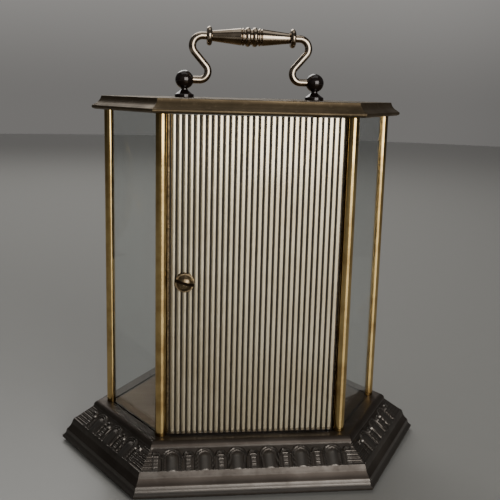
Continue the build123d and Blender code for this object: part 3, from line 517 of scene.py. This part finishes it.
# ---------------------------------------------------------------- geometry nodes helper
class Tree(Graph):
    """A geometry node tree with named inputs: whole numbers, lengths in metres, or objects."""

    def __init__(self, name, **sizes):
        super().__init__(bpy.data.node_groups.new(name, "GeometryNodeTree"))
        self.socket("Geometry", "Geometry")
        for key, value in sizes.items():
            kind = "Int" if isinstance(value, int) else "Float" if isinstance(value, float) else "Object"
            self.socket(key, kind)
        self.socket("Finish", "Material")
        self.socket("Geometry", "Geometry", "OUTPUT")
        self.sizes = sizes
        self.given = self.add("NodeGroupInput").outputs

    def socket(self, name, kind, way="INPUT"):
        self.tree.interface.new_socket(name, in_out=way, socket_type="NodeSocket" + kind)

    def vector(self, **parts):
        return self.add("ShaderNodeCombineXYZ", parts).outputs[0]

    def close(self, geometry):
        """Ends the tree in Realize Instances and Set Material."""
        real = self.add("GeometryNodeRealizeInstances", {"Geometry": geometry})
        done = self.add("GeometryNodeSetMaterial",
                        {"Geometry": real.outputs[0], "Material": self.given["Finish"]})
        self.add("NodeGroupOutput", {"Geometry": done.outputs[0]})

    def grow(self, name, finish, carrier=None):
        """Runs the tree on a carrier mesh and returns the plain mesh it makes."""
        obj = put(name, carrier or bpy.data.meshes.new(name))
        modifier = obj.modifiers.new(name, "NODES")
        modifier.node_group = self.tree
        values = {**self.sizes, "Finish": finish}
        for item in self.tree.interface.items_tree:
            if item.in_out == "INPUT" and item.name in values:
                value = values[item.name]
                modifier[item.identifier] = float(value) if isinstance(value, np.floating) else value
        return plain_mesh(obj)


def repeat(name, unit, places, finish):
    """Copies of a unit mesh (metres) at places (millimetres), as one mesh."""
    pattern = bpy.data.objects.new(name + "_unit", unit)
    tree = Tree(name + "_places", Unit=pattern)
    source = tree.add("GeometryNodeObjectInfo", {"Object": tree.given["Unit"]})
    copies = tree.add("GeometryNodeInstanceOnPoints", {
        "Points": tree.given["Geometry"],
        "Instance": source.outputs["Geometry"],
    })
    tree.close(copies.outputs[0])
    carrier = mesh_from(name + "_carrier", places, [])
    mesh = tree.grow(name, finish, carrier)
    bpy.data.objects.remove(pattern)
    return mesh


# ---------------------------------------------------------------- the six-sided plan
POST_NODES = ["post_right", "post_rear_right", "post_rear_left",
              "post_left", "post_front_left", "post_front_right"]
POST_R, TIE_ROD_R = 3.15, 1.5
# The plan's corners are the middles of the rods and posts.
SIDE_X = float(box_mm("tie_rods")[1][0] - TIE_ROD_R)
CORNER_Y = float(box_mm("tie_rods")[1][1] - TIE_ROD_R)
CORNER_X = float(box_mm("post_rear_right")[0][0] + POST_R)
CORNERS = [(SIDE_X, 0.0), (CORNER_X, CORNER_Y), (-CORNER_X, CORNER_Y),
           (-SIDE_X, 0.0), (-CORNER_X, -CORNER_Y), (CORNER_X, -CORNER_Y)]
FLOOR_Z = float(box_mm("base_casting")[1][2])
SLAB_LOW = float(box_mm("top_slab")[0][2])
SLAB_TOP = float(box_mm("top_slab")[1][2])


def normals_of_plan():
    normals = []
    for k in range(6):
        (x0, y0), (x1, y1) = CORNERS[k], CORNERS[(k + 1) % 6]
        length = math.hypot(x1 - x0, y1 - y0)
        normals.append(np.array([(y1 - y0) / length, -(x1 - x0) / length]))
    return normals


NORMALS = normals_of_plan()


def mitred(k, offset):
    """Corner k of the plan moved out by offset."""
    before, after = NORMALS[k - 1], NORMALS[k]
    lean = (before + after) / (1 + before @ after)
    return np.array(CORNERS[k]) + lean * offset


def six_sided(profile, step, relief=None, proud=None):
    """A moulding round the plan from (offset, z) corners, with a column of points about every step.
    relief(k, along, row) gives a point's lift off side k and the lift's outward and upward shares. proud
    says how rubbed each row is. A profile with relief is a closed loop; without, its ends are capped."""
    widest = max(p[0] for p in profile)
    columns = []
    for k in range(6):
        length = np.linalg.norm(mitred((k + 1) % 6, widest) - mitred(k, widest))
        count = max(2, round(length / step))
        columns += [(k, i / count) for i in range(count)]
    width, rows = len(columns), len(profile)
    points, lifts, faces = [], [], []
    for row, (offset, z) in enumerate(profile):
        starts = [mitred(k, offset) for k in range(6)]
        for k, u in columns:
            a, b = starts[k], starts[(k + 1) % 6]
            flat = a + (b - a) * u
            along = (u - 0.5) * np.linalg.norm(b - a)
            lift, out_share, up_share = relief(k, along, row) if relief else (0.0, 0.0, 0.0)
            outward = NORMALS[k] * lift * out_share
            points.append((flat[0] + outward[0], flat[1] + outward[1], z + lift * up_share))
            lifts.append(lift)
    for row in range(rows if relief else rows - 1):
        upper = (row + 1) % rows
        for i in range(width):
            j = (i + 1) % width
            faces.append((row * width + i, row * width + j, upper * width + j, upper * width + i))
    open_ends = () if relief else (0, rows - 1)
    for row in open_ends:
        middle = len(points)
        points.append((0.0, 0.0, profile[row][1]))
        faces += [(row * width + i, row * width + (i + 1) % width, middle) for i in range(width)]
    mesh = mesh_from("moulding", points, faces)
    if proud:
        shares = np.repeat(proud, width) + np.array(lifts) * RELIEF_SHARE
        mesh.attributes.new("relief", "FLOAT", "POINT").data.foreach_set("value", shares.astype(np.float32))
    return fix_normals(mesh)


# ---------------------------------------------------------------- base moulding
BAND_TOP, BAND_LOW = (9.5, 21.6), (19.5, 13.5)
BAND_ROWS = 30
BAND_WIDTH = math.dist(BAND_TOP, BAND_LOW)
BAND_RUBBED = 0.60
BAND_FIELD = -0.45  # where the band has no ornament, it lies this far under its slope
BAND_END = 4.0  # left plain at a side's ends
TONGUE_PITCH = 17.4
TONGUE_R = 5.6
DART_HALF = 1.8
LEAF_R, LEAF_HALF, LEAF_RISE = 2.15, 0.75, 1.35
HATCH = 1.1
RELIEF_SHARE = 0.75  # of a point's lift, added to how rubbed its row is
GROOVE = 1.05  # half the width of the channel that the panes stand in
# Below the band, each arc's middle, its end, and how rubbed it is.
BASE_STEPS = (
    ((20.15, 12.05), (20.6, 10.5), 0.35),
    ((21.65, 8.6), (23.0, 7.05), 0.0),
    ((23.38, 6.05), (23.6, 4.9), 0.7),
    ((24.3, 3.85), (25.2, 3.1), 0.7),
)


def ease(x, low, high):
    t = min(1.0, max(0.0, (x - low) / (high - low)))
    return t * t * (3 - 2 * t)


def tongue_height(x, down):
    """Arched tongue: two fine rims round a swelling middle. x is from its centre line. None is off it."""
    centre = TONGUE_R + 0.5
    r = math.hypot(x, down - centre) if down < centre else abs(x)
    if r > TONGUE_R:
        return None
    rim = 0.55 * ease(TONGUE_R - r, 0.0, 0.35) * (1 - ease(TONGUE_R - r, 0.75, 1.1))
    inner_rim = 0.4 * ease(TONGUE_R - r, 1.2, 1.5) * (1 - ease(TONGUE_R - r, 1.9, 2.2))
    body = 0.85 * math.cos(min(1.0, r / 3.3) * math.pi / 2)
    return BAND_FIELD + rim + inner_rim + body


def dart_height(x, down):
    """Narrow dart between two tongues: two bright leaves over a hatched shaft."""
    leaf = math.hypot(abs(x) - 0.2, down - 5.0)
    if down < 5.2 and abs(leaf - LEAF_R) < LEAF_HALF:
        return BAND_FIELD + LEAF_RISE * math.cos((leaf - LEAF_R) / LEAF_HALF * math.pi / 2)
    if down > 4.2 and abs(x) < DART_HALF:
        edge = 1 - ease(abs(x), DART_HALF - 0.5, DART_HALF)
        return BAND_FIELD + edge * (0.38 + 0.14 * math.sin(down / HATCH * math.tau))
    return BAND_FIELD


def band_height(k, along, down):
    """Relief of the ornamented band, in millimetres out of its slope."""
    side = np.linalg.norm(mitred((k + 1) % 6, BAND_TOP[0]) - mitred(k, BAND_TOP[0]))
    count = int((side - BAND_END) // TONGUE_PITCH)
    half = count * TONGUE_PITCH / 2
    fade = ease(down, 0.0, 0.5) * (1 - ease(down, BAND_WIDTH - 0.4, BAND_WIDTH))
    if abs(along) > half + DART_HALF:
        return fade * (-0.3 + 0.13 * math.sin(down / HATCH * math.tau))
    place = (along + half) / TONGUE_PITCH
    from_dart = (place - round(place)) * TONGUE_PITCH
    from_tongue = (place - math.floor(place) - 0.5) * TONGUE_PITCH
    height = tongue_height(from_tongue, down)
    if height is None or abs(along) > half:
        height = dart_height(from_dart, down)
    return fade * height


def base_profile():
    """(offset, z, how rubbed) rows from the floor's edge out, down to the lip and back up inside, and which
    rows the ornamented band starts and ends with."""
    rows = [(-2.0, FLOOR_Z, 0.1), (-GROOVE, FLOOR_Z, 0.1), (-GROOVE, FLOOR_Z - 1.0, 0.0),
            (GROOVE, FLOOR_Z - 1.0, 0.0), (GROOVE, FLOOR_Z, 0.1), (5.4, FLOOR_Z, 0.08), (5.9, FLOOR_Z, 0.08)]
    rows += [(x, z, 0.04) for x, z in arc((5.9, FLOOR_Z), (8.6, 23.6), BAND_TOP, 8)][:-1]
    first_band = len(rows)
    (x0, z0), (x1, z1) = BAND_TOP, BAND_LOW
    for i in range(BAND_ROWS + 1):
        u = i / BAND_ROWS
        rows.append((x0 + (x1 - x0) * u, z0 + (z1 - z0) * u, BAND_RUBBED))
    last_band = len(rows) - 1
    for middle, end, share in BASE_STEPS:
        rows += [(x, z, share) for x, z in arc(rows[-1][:2], middle, end, 7)]
    rows += [(25.4, 2.9, 0.3), (25.4, 1.8, 0.25), (25.2, 1.5, 0.2), (22.4, 1.5, 0.0)]
    rows += [(22.4, 3.5, 0.0), (19.0, 8.0, 0.0), (6.5, 20.6, 0.0), (-2.0, FLOOR_Z - 1.2, 0.0)]
    return rows, first_band, last_band


def make_base():
    rows, first, last = base_profile()
    up_share, out_share = (BAND_LOW[0] - BAND_TOP[0]) / BAND_WIDTH, (BAND_TOP[1] - BAND_LOW[1]) / BAND_WIDTH

    def relief(k, along, row):
        if not first <= row <= last:
            return 0.0, 0.0, 0.0
        down = (row - first) / (last - first) * BAND_WIDTH
        return band_height(k, along, down), out_share, up_share

    mesh = six_sided([r[:2] for r in rows], 0.5, relief, [r[2] for r in rows])
    piece("base_moulding", mesh, ["base_casting"], soft_angle=40.0)


def make_top():
    profile = rounded([(-4.5, SLAB_LOW + 1.0), (-4.5, SLAB_LOW), (7.0, SLAB_LOW), (7.4, SLAB_LOW + 0.25),
                       (7.6, 201.0, 8.5, 199.7), (7.4, 201.2), (6.9, 201.6), (4.1, 205.2, 5.4, 202.8),
                       (4.0, 205.6), (3.5, SLAB_TOP, 3.9, 205.9), (3.0, SLAB_TOP)], 9)
    piece("top_moulding", six_sided(profile, 4.0), ["top_slab"], soft_angle=28.0)


def make_posts():
    foot, head = (corner[2] for corner in box_mm("post_left"))
    narrow = POST_R - 0.25
    unit = lathe([(0, foot), (narrow, foot), (POST_R, foot + 0.3),
                  (POST_R, head - 0.3), (narrow, head), (0, head)], segments=72)
    mesh = repeat("corner_posts", unit, [(x, y, 0) for x, y in CORNERS], FINISH["polished_brass"])
    piece("corner_posts", mesh, POST_NODES)


# ---------------------------------------------------------------- reeded door
REED_COUNT = 30
REED_PITCH = 3.0
REED_RISE = 0.9
REED_SHARE = 0.78  # of the pitch
REED_CORNER = 0.45
REED_CROWN = 0.05  # its fall 1 mm from its middle; the fall grows as the square
REED_STEP = 0.12  # between points round its section


def make_reeds():
    """Nearly flat reeds with soft corners, side by side on a thin sheet."""
    low, high = box_mm("door_panel")
    root = high[1] - REED_RISE
    tree = Tree("reeded_sheet", Count=REED_COUNT, Pitch=REED_PITCH * MM, Rise=REED_RISE * MM,
                Corner=REED_CORNER * MM, Height=(high[2] - low[2]) * MM, Foot=low[2] * MM, Back=root * MM,
                Sheet=(root - low[1]) * MM, Width=(high[0] - low[0]) * MM)
    g = tree.given
    bar_width = tree.maths("MULTIPLY", g["Pitch"], REED_SHARE)
    section = tree.add("GeometryNodeCurvePrimitiveQuadrilateral",
                       {"Width": bar_width, "Height": tree.maths("MULTIPLY", g["Rise"], 2.0)})
    soft = tree.add("GeometryNodeFilletCurve",
                    {"Curve": section.outputs[0], "Radius": g["Corner"], "Count": 5}, mode="POLY")
    more = tree.add("GeometryNodeResampleCurve",
                    {"Curve": soft.outputs[0], "Length": REED_STEP * MM}, mode="LENGTH")
    across = tree.split(tree.add("GeometryNodeInputPosition").outputs[0])["X"]
    square = tree.maths("MULTIPLY", across, across)
    sink = tree.vector(Y=tree.maths("MULTIPLY", square, -REED_CROWN / MM))
    closed = tree.add("GeometryNodeSetPosition", {"Geometry": more.outputs[0], "Offset": sink})
    path = tree.add("GeometryNodeCurvePrimitiveLine", {"End": tree.vector(Z=g["Height"])})
    bar = tree.add("GeometryNodeCurveToMesh",
                   {"Curve": path.outputs[0], "Profile Curve": closed.outputs[0], "Fill Caps": True})
    gaps = tree.maths("SUBTRACT", g["Count"], 1.0)
    left = tree.maths("MULTIPLY", gaps, tree.maths("MULTIPLY", g["Pitch"], -0.5))
    row = tree.add("GeometryNodeMeshLine", {
        "Count": g["Count"],
        "Start Location": tree.vector(X=left, Y=g["Back"], Z=g["Foot"]),
        "Offset": tree.vector(X=g["Pitch"]),
    })
    reeds = tree.add("GeometryNodeInstanceOnPoints", {"Points": row.outputs[0], "Instance": bar.outputs[0]})
    sheet = tree.add("GeometryNodeMeshCube", {"Size": tree.vector(X=g["Width"], Y=g["Sheet"], Z=g["Height"])})
    middle_y = tree.maths("SUBTRACT", g["Back"], tree.maths("MULTIPLY", g["Sheet"], 0.5))
    middle_z = tree.maths("ADD", g["Foot"], tree.maths("MULTIPLY", g["Height"], 0.5))
    placed = tree.add("GeometryNodeTransform", {
        "Geometry": sheet.outputs[0],
        "Translation": tree.vector(Y=middle_y, Z=middle_z),
    })
    both = tree.add("GeometryNodeJoinGeometry")
    tree.feed(both.inputs[0], reeds.outputs[0])
    tree.feed(both.inputs[0], placed.outputs[0])
    tree.close(both.outputs[0])
    mesh = tree.grow("reeded_sheet", FINISH["champagne_brass"])
    piece("reeded_sheet", fix_normals(mesh), ["door_panel"], soft_angle=60.0)


def carve(mesh, low, high, turn):
    """Cuts a box, in millimetres and then turned by a matrix, out of a mesh."""
    corners = [(x, y, z) for x in (low[0], high[0]) for y in (low[1], high[1]) for z in (low[2], high[2])]
    faces = [(0, 1, 3, 2), (4, 6, 7, 5), (0, 4, 5, 1), (2, 3, 7, 6), (0, 2, 6, 4), (1, 5, 7, 3)]
    block = fix_normals(mesh_from("cutter", corners, faces))
    block.transform(turn)
    cutter = put("cutter", block)
    result = modified(mesh, ("BOOLEAN", {"object": cutter, "operation": "DIFFERENCE", "solver": "EXACT"}))
    bpy.data.objects.remove(cutter)
    return result


KNOB_R, KNOB_RISE = 5.1, 3.4
SLOT_TILT = 15.0  # degrees
SLOT_HALF = 0.9
SLOT_DEPTH = 2.0


def make_knob():
    """A domed screw head with a rim and a coin slot, and its shaft through the door."""
    low, high = box_mm("latch_knob")
    x, _, z = centre_mm("latch_knob")
    back, front = high[1] - KNOB_RISE, high[1]
    profile = [(0, back), (KNOB_R - 0.4, back), (KNOB_R, back + 1.0, KNOB_R, back + 0.3),
               (KNOB_R - 0.25, back + 1.35, KNOB_R - 0.05, back + 1.25), (KNOB_R - 0.75, back + 1.35),
               (KNOB_R - 0.95, back + 1.5), (0, front, 2.6, front - 0.55)]
    head = lathe(profile, (0, 0, 0), "Y", 96)
    tilt = Matrix.Rotation(math.radians(-SLOT_TILT), 4, "Y")
    head = carve(head, (-7, front - SLOT_DEPTH, -SLOT_HALF), (7, front + 1, SLOT_HALF), tilt)
    head = break_edges(head, 0.10, 45.0, 80)
    across = tilt.to_3x3() @ Vector((0, 0, 1))
    # Faces that get the painted shade: the slot's floor and its upper wall, not the lit lower wall.
    slot_shade = []
    for face in head.polygons:
        above_middle = face.center @ across
        on_floor = face.center.y < (front - SLOT_DEPTH + 0.3) * MM and abs(above_middle) < SLOT_HALF * MM
        on_upper_wall = abs(above_middle - SLOT_HALF * MM) < 2e-5 and face.normal @ across < -0.9
        slot_shade.append(float(on_floor or on_upper_wall))
    head.attributes.new("slot_painted_shade", "FLOAT", "FACE").data.foreach_set("value", slot_shade)
    head.transform(Matrix.Translation((x * MM, 0, z * MM)))
    shaft = lathe([(0, low[1]), (1.6, low[1]), (1.6, back + 0.5), (0, back + 0.5)], (x, 0, z), "Y", 32)
    piece("latch_knob_head", join_meshes("latch_knob_head", [head, shaft]), ["latch_knob"], soft_angle=None)


# ---------------------------------------------------------------- handle
WIRE_R = 2.1
LOWER_BEND, LOWER_BEND_R = (29.0, 220.8), 4.8
UPPER_BEND, UPPER_BEND_R = (27.6, 234.9), 5.5
GRIP_Z = UPPER_BEND[1] + UPPER_BEND_R
ARM_END = 25.1
COLLAR_IN = 22.3


def tube(path, radius):
    """A closed round bar along (x, z) points in the plane y = 0."""
    around = 40
    path = np.array(path, float)
    tangents = np.gradient(path, axis=0)
    tangents /= np.linalg.norm(tangents, axis=1)[:, None]
    points, faces = [], []
    for (x, z), (tx, tz) in zip(path, tangents):
        for t in np.linspace(0, math.tau, around, endpoint=False):
            side = radius * math.cos(t)
            points.append((x - tz * side, radius * math.sin(t), z + tx * side))
    for start in range(0, len(points) - around, around):
        for i in range(around):
            j = (i + 1) % around
            faces.append((start + i, start + j, start + around + j, start + around + i))
    faces += [tuple(range(around)), tuple(range(len(points) - around, len(points)))]
    return fix_normals(mesh_from("bar", points, faces))


def wire_path():
    """The S of the handle's wire, from inside its ball up to the grip."""
    (lx, lz), (ux, uz) = LOWER_BEND, UPPER_BEND
    heading = math.atan2(uz - lz, ux - lx)
    spread = math.acos((LOWER_BEND_R + UPPER_BEND_R) / math.hypot(ux - lx, uz - lz))
    leave = heading + spread
    path = [(38.4, lz - LOWER_BEND_R), (34.0, lz - LOWER_BEND_R)]
    for i in range(29):
        t = -math.pi / 2 - (math.tau - math.pi / 2 - leave) * i / 28
        path.append((lx + LOWER_BEND_R * math.cos(t), lz + LOWER_BEND_R * math.sin(t)))
    first = leave - math.pi
    for i in range(1, 33):
        t = first + (math.pi / 2 - first) * i / 32
        path.append((ux + UPPER_BEND_R * math.cos(t), uz + UPPER_BEND_R * math.sin(t)))
    path.append((ARM_END, GRIP_Z))
    return path


def make_handle():
    path = wire_path()
    piece("handle_wire_right", tube(path, WIRE_R), ["handle_arm_right"], 40)
    piece("handle_wire_left", tube([(-x, z) for x, z in path], WIRE_R), ["handle_arm_left"], 40)
    half = [(0, COLLAR_IN), (2.6, COLLAR_IN), (2.9, COLLAR_IN - 0.3), (4.72, 6.3), (4.55, 5.85, 4.8, 6.0),
            (4.3, 5.5), (4.3, 3.9, 4.95, 4.7), (4.3, 3.6), (4.3, 0.35, 5.42, 1.95), (4.3, 0.12)]
    right = rounded(half, 10)
    grip = lathe(right + [(r, -x) for r, x in reversed(right)], (0, 0, GRIP_Z), "X", 80)
    piece("turned_grip", grip, ["handle_grip"], 28)
    ring = rounded([(1.3, COLLAR_IN), (3.2, COLLAR_IN),
                    (3.2, ARM_END, 5.4, (COLLAR_IN + ARM_END) / 2), (1.3, ARM_END)], 14)
    collars = [lathe([(r, s * x) for r, x in ring], (0, 0, GRIP_Z), "X", 72, ring=True) for s in (1, -1)]
    piece("turned_collars", join_meshes("turned_collars", collars), ["handle_collars"], 50)


BALL_R, BALL_Z = 5.25, 216.0


def make_finials():
    """Black balls on flared feet."""
    ball = [(BALL_R * math.sin(t), BALL_Z - BALL_R * math.cos(t)) for t in np.linspace(0.36, math.pi, 40)]
    foot = [(0, SLAB_TOP), (5.3, SLAB_TOP), (5.45, SLAB_TOP + 0.2), (5.45, SLAB_TOP + 1.75),
            (5.3, SLAB_TOP + 1.95), (1.95, SLAB_TOP + 4.4, 3.45, SLAB_TOP + 3.2), (1.9, SLAB_TOP + 4.75)]
    profile = rounded(foot, 8) + ball[:-1] + [(0, BALL_Z + BALL_R)]
    for node in ("finial_left", "finial_right"):
        x = centre_mm(node)[0]
        piece(node.replace("finial", "ball_finial"), lathe(profile, (x, 0, 0), "Z", 72), [node], 35)


# ---------------------------------------------------------------- pendulum
def make_pendulum():
    low, high = box_mm("pendulum_balls")
    z = (low[2] + high[2]) / 2
    radius = (high[2] - low[2]) / 2
    ring = math.hypot(high[0] - radius, high[1] - radius)
    unit = lathe([(radius * math.sin(t), -radius * math.cos(t)) for t in np.linspace(0, math.pi, 33)][:-1]
                 + [(0, radius)], (0, 0, 0), "Z", 48)
    angles = [math.radians(45 + 90 * i) for i in range(4)]
    places = [(ring * math.cos(t), ring * math.sin(t), z) for t in angles]
    mesh = repeat("pendulum_globes", unit, places, FINISH["polished_brass"])
    piece("pendulum_globes", mesh, ["pendulum_balls"], 60)
    foot = box_mm("pendulum_hub")[0][2]
    spindle = [(0, foot), (0.6, foot), (0.8, foot + 0.3), (0.8, 40.2), (1.2, 44), (4.5, 46),
               (2.2, 50, 4.2, 48.5), (3.4, 55, 2.2, 53), (3.55, 56.5), (3.55, 59.5), (3.4, 61),
               (2.2, 64, 2.5, 62), (1.6, 69), (3.0, 70.5), (2.6, 71.6, 3.0, 71.2), (0.8, 72), (0, 72)]
    piece("pendulum_spindle", lathe(spindle, (0, 0, 0), "Z", 56), ["pendulum_hub"], 30)


# ---------------------------------------------------------------- dial
DIAL_FACE_Y = float(box_mm("dial_plate")[0][1])
DIAL_Z = float(centre_mm("dial_bezel")[2])
PRINT_T, PRINT_SUNK = 0.06, 0.02
NUMERALS = ["XII", "I", "II", "III", "IIII", "V", "VI", "VII", "VIII", "IX", "X", "XI"]
STEM_W, HAIR_W, SERIF_H = 1.05, 0.38, 0.34
LETTER_W = {"I": 1.75, "V": 4.3, "X": 4.3}
NUMERAL_H = 7.4
NUMERAL_R, MINUTE_R = 30.6, 37.4
TICK_HALF = 0.75
PRINTED_RINGS = ((38.15, 0.22), (36.65, 0.22), (25.0, 0.25))  # radius and width
BEZEL_INNER = 41.05


def stroke(x0, z0, x1, z1, width):
    """Four corners of a bar from foot to head, its ends level."""
    return [(x0 - width / 2, z0), (x0 + width / 2, z0), (x1 + width / 2, z1), (x1 - width / 2, z1)]


def letter(name, x, height):
    """One numeral letter whose left edge is at x: its strokes, and its serifs as (left, right, height)."""
    w, h = LETTER_W[name], height / 2
    left, right, middle = x + 0.85, x + w - 0.85, x + w / 2
    if name == "I":
        return [stroke(middle, -h, middle, h, STEM_W)], [(x + 0.1, x + w - 0.1, end) for end in (-h, h)]
    if name == "V":
        bars = [stroke(middle, -h, left, h, STEM_W), stroke(middle, -h, right, h, HAIR_W)]
        return bars, [(left - 0.85, left + 0.85, h), (right - 0.6, right + 0.6, h)]
    bars = [stroke(right, -h, left, h, STEM_W), stroke(left, -h, right, h, HAIR_W)]
    return bars, [(left - 0.8, left + 0.8, h), (right - 0.8, right + 0.8, h),
                  (left - 0.8, left + 0.8, -h), (right - 0.8, right + 0.8, -h)]


def numeral(text):
    """All bars of a numeral, centred, standing upright."""
    width = sum(LETTER_W[c] for c in text)
    x, bars = -width / 2, []
    for c in text:
        strokes, serifs = letter(c, x, NUMERAL_H)
        bars += strokes
        for x0, x1, z in serifs:
            inner = z - math.copysign(SERIF_H, z)
            bars.append([(x0, min(z, inner)), (x1, min(z, inner)), (x1, max(z, inner)), (x0, max(z, inner))])
        x += LETTER_W[c]
    return bars


def print_on_dial(name, outlines):
    """Thin raised ink from flat outlines. An outline is (x, z) corners about the dial's middle, as read."""
    points, faces = [], []
    for corners in outlines:
        base, n = len(points), len(corners)
        for y in (-PRINT_T, PRINT_SUNK):
            points += [(x, DIAL_FACE_Y + y, DIAL_Z + z) for x, z in corners]
        faces += [list(range(base, base + n)), list(range(base + n, base + 2 * n))]
        faces += [(base + i, base + (i + 1) % n, base + n + (i + 1) % n, base + n + i) for i in range(n)]
    printed_piece(name, fix_normals(mesh_from(name, points, faces)))


def printed_piece(name, mesh):
    piece(name, mesh, [], 30, slot="hand_black", body="case")


def turned_about_dial(corners, degrees, radius=0.0):
    """Corners moved out by radius and turned clockwise, as a dial reads."""
    t = math.radians(degrees)
    return [((x * math.cos(t) + (z + radius) * math.sin(t)), (z + radius) * math.cos(t) - x * math.sin(t))
            for x, z in corners]


def printed_ring(radius, width):
    """A fine printed circle as one closed band."""
    low, high = radius - width / 2, radius + width / 2
    front, back = DIAL_FACE_Y - PRINT_T, DIAL_FACE_Y + PRINT_SUNK
    section = [(low, front), (high, front), (high, back), (low, back)]
    return lathe(section, (0, 0, DIAL_Z), "Y", 160, ring=True)


def make_dial():
    """Printed chapter ring with numerals and a minute track, and a turned bezel."""
    outlines = []
    for hour, text in enumerate(NUMERALS):
        for bar in numeral(text):
            outlines.append(turned_about_dial(bar, hour * 30, NUMERAL_R))
    print_on_dial("dial_numerals", outlines)
    ticks = []
    for minute in range(60):
        half = 0.11 if minute % 5 else 0.36
        tick = [(-half, -TICK_HALF), (half, -TICK_HALF), (half, TICK_HALF), (-half, TICK_HALF)]
        ticks.append(turned_about_dial(tick, minute * 6, MINUTE_R))
    print_on_dial("minute_marks", ticks)
    printed_piece("dial_rings", join_meshes("dial_rings", [printed_ring(r, w) for r, w in PRINTED_RINGS]))
    low, high = box_mm("dial_bezel")
    outer, front, back = (high[0] - low[0]) / 2, low[1], high[1]
    inner = BEZEL_INNER
    rim = [(inner, back), (inner, front + 2.6), (inner + 0.35, front + 1.9, inner + 0.05, front + 2.2),
           (inner + 1.3, front + 1.1, inner + 0.75, front + 1.4), (inner + 1.3, front + 0.35),
           (inner + 1.65, front, inner + 1.4, front + 0.1), (inner + 2.5, front),
           (outer - 0.05, front + 2.2, inner + 3.6, front + 0.6), (outer, front + 2.6), (outer, back)]
    piece("turned_bezel", lathe(rim, (0, 0, DIAL_Z), "Y", 144, ring=True), ["dial_bezel"], 30)


def make_rest():
    """Everything that keeps its CAD shape, with its edges broken."""
    bevels = {"felt_pad": 0.3, "bottom_cover": 0.2, "movement_case": 0.3, "movement_cover": 0.3,
              "pendulum_drive": 0.6, "movement_bracket": 0.2, "dial_plate": 0.1}
    for node, obj in frame["nodes"].items():
        if not obj.hide_render:
            refine(node, 0.0 if node.startswith("glass") else bevels.get(node, 0.08))


# ---------------------------------------------------------------- surroundings
FLOOR_R = 3000


def make_stage():
    s = Shader("pale_floor", Specular_IOR_Level=0.35)
    grain = s.noise(60.0, 3.0)
    tint = s.blend(grain, rgb(0.335, 0.333, 0.315), rgb(0.35, 0.348, 0.33))
    turn = np.linspace(0, math.tau, 64, endpoint=False)
    rim = [(FLOOR_R * math.cos(t), FLOOR_R * math.sin(t), -0.05) for t in turn]
    mesh = mesh_from("floor", rim, [list(range(64))])
    mesh.materials.append(s.done(Base_Color=tint, Roughness=s.span(grain, 0.3, 0.7, 0.29, 0.31)))
    put("floor", mesh)


def softbox(name, place, target, size, power, tint=(1.0, 1.0, 1.0), through_glass=True):
    data = bpy.data.lights.new(name, "AREA")
    data.shape = "RECTANGLE"
    data.size, data.size_y = size
    data.energy = power
    data.color = tint
    lamp = put(name, data)
    lamp.location = place
    lamp.visible_transmission = through_glass
    lamp.rotation_euler = (Vector(target) - Vector(place)).to_track_quat("-Z", "Y").to_euler()


# World brightness towards the backdrop (-Y), to the sides and overhead, and towards the room (+Y).
BACKDROP_LIGHT = 0.34
SIDE_LIGHT = 0.06
ROOM_LIGHT = 0.17
HORIZON_SHARE = 0.5  # of that, at the horizon and below


def studio_world():
    world = bpy.data.worlds.new("studio")
    world.use_nodes = True
    sky = Graph(world.node_tree)
    towards = sky.split(sky.add("ShaderNodeTexCoord").outputs["Generated"])

    def ramp(axis, *ends):
        return sky.span(towards[axis], *ends, interpolation_type="SMOOTHSTEP")

    level = sky.maths("ADD", ramp("Y", -0.95, -0.72, BACKDROP_LIGHT, SIDE_LIGHT),
                      ramp("Y", 0.4, 0.92, 0.0, ROOM_LIGHT - SIDE_LIGHT))
    share = ramp("Z", -0.02, 0.22, HORIZON_SHARE, 1.0)
    background = sky.tree.nodes["Background"].inputs
    sky.feed(background["Strength"], sky.maths("MULTIPLY", level, share))
    sky.feed(background["Color"], rgb(1.0, 0.97, 0.93))
    bpy.context.scene.world = world


def make_lights():
    """Soft studio light: a window-like box facing the door, a high one facing the dial, a dim one above."""
    studio_world()
    softbox("tall_window", (-0.59, 1.55, 0.50), (0, 0, 0.16), (1.3, 1.0), 20.5, (1.0, 0.98, 0.95), False)
    softbox("front_window", (0.25, -1.25, 1.25), (0, 0, 0.13), (1.1, 1.0), 10.0, (1.0, 0.99, 0.97))
    softbox("overhead", (0.0, 0.0, 1.5), (0, 0, 0.1), (1.4, 1.0), 2.6)


make_camera()
make_base()
make_top()
make_posts()
make_reeds()
make_knob()
make_handle()
make_finials()
make_pendulum()
make_dial()
make_rest()
make_stage()
make_lights()
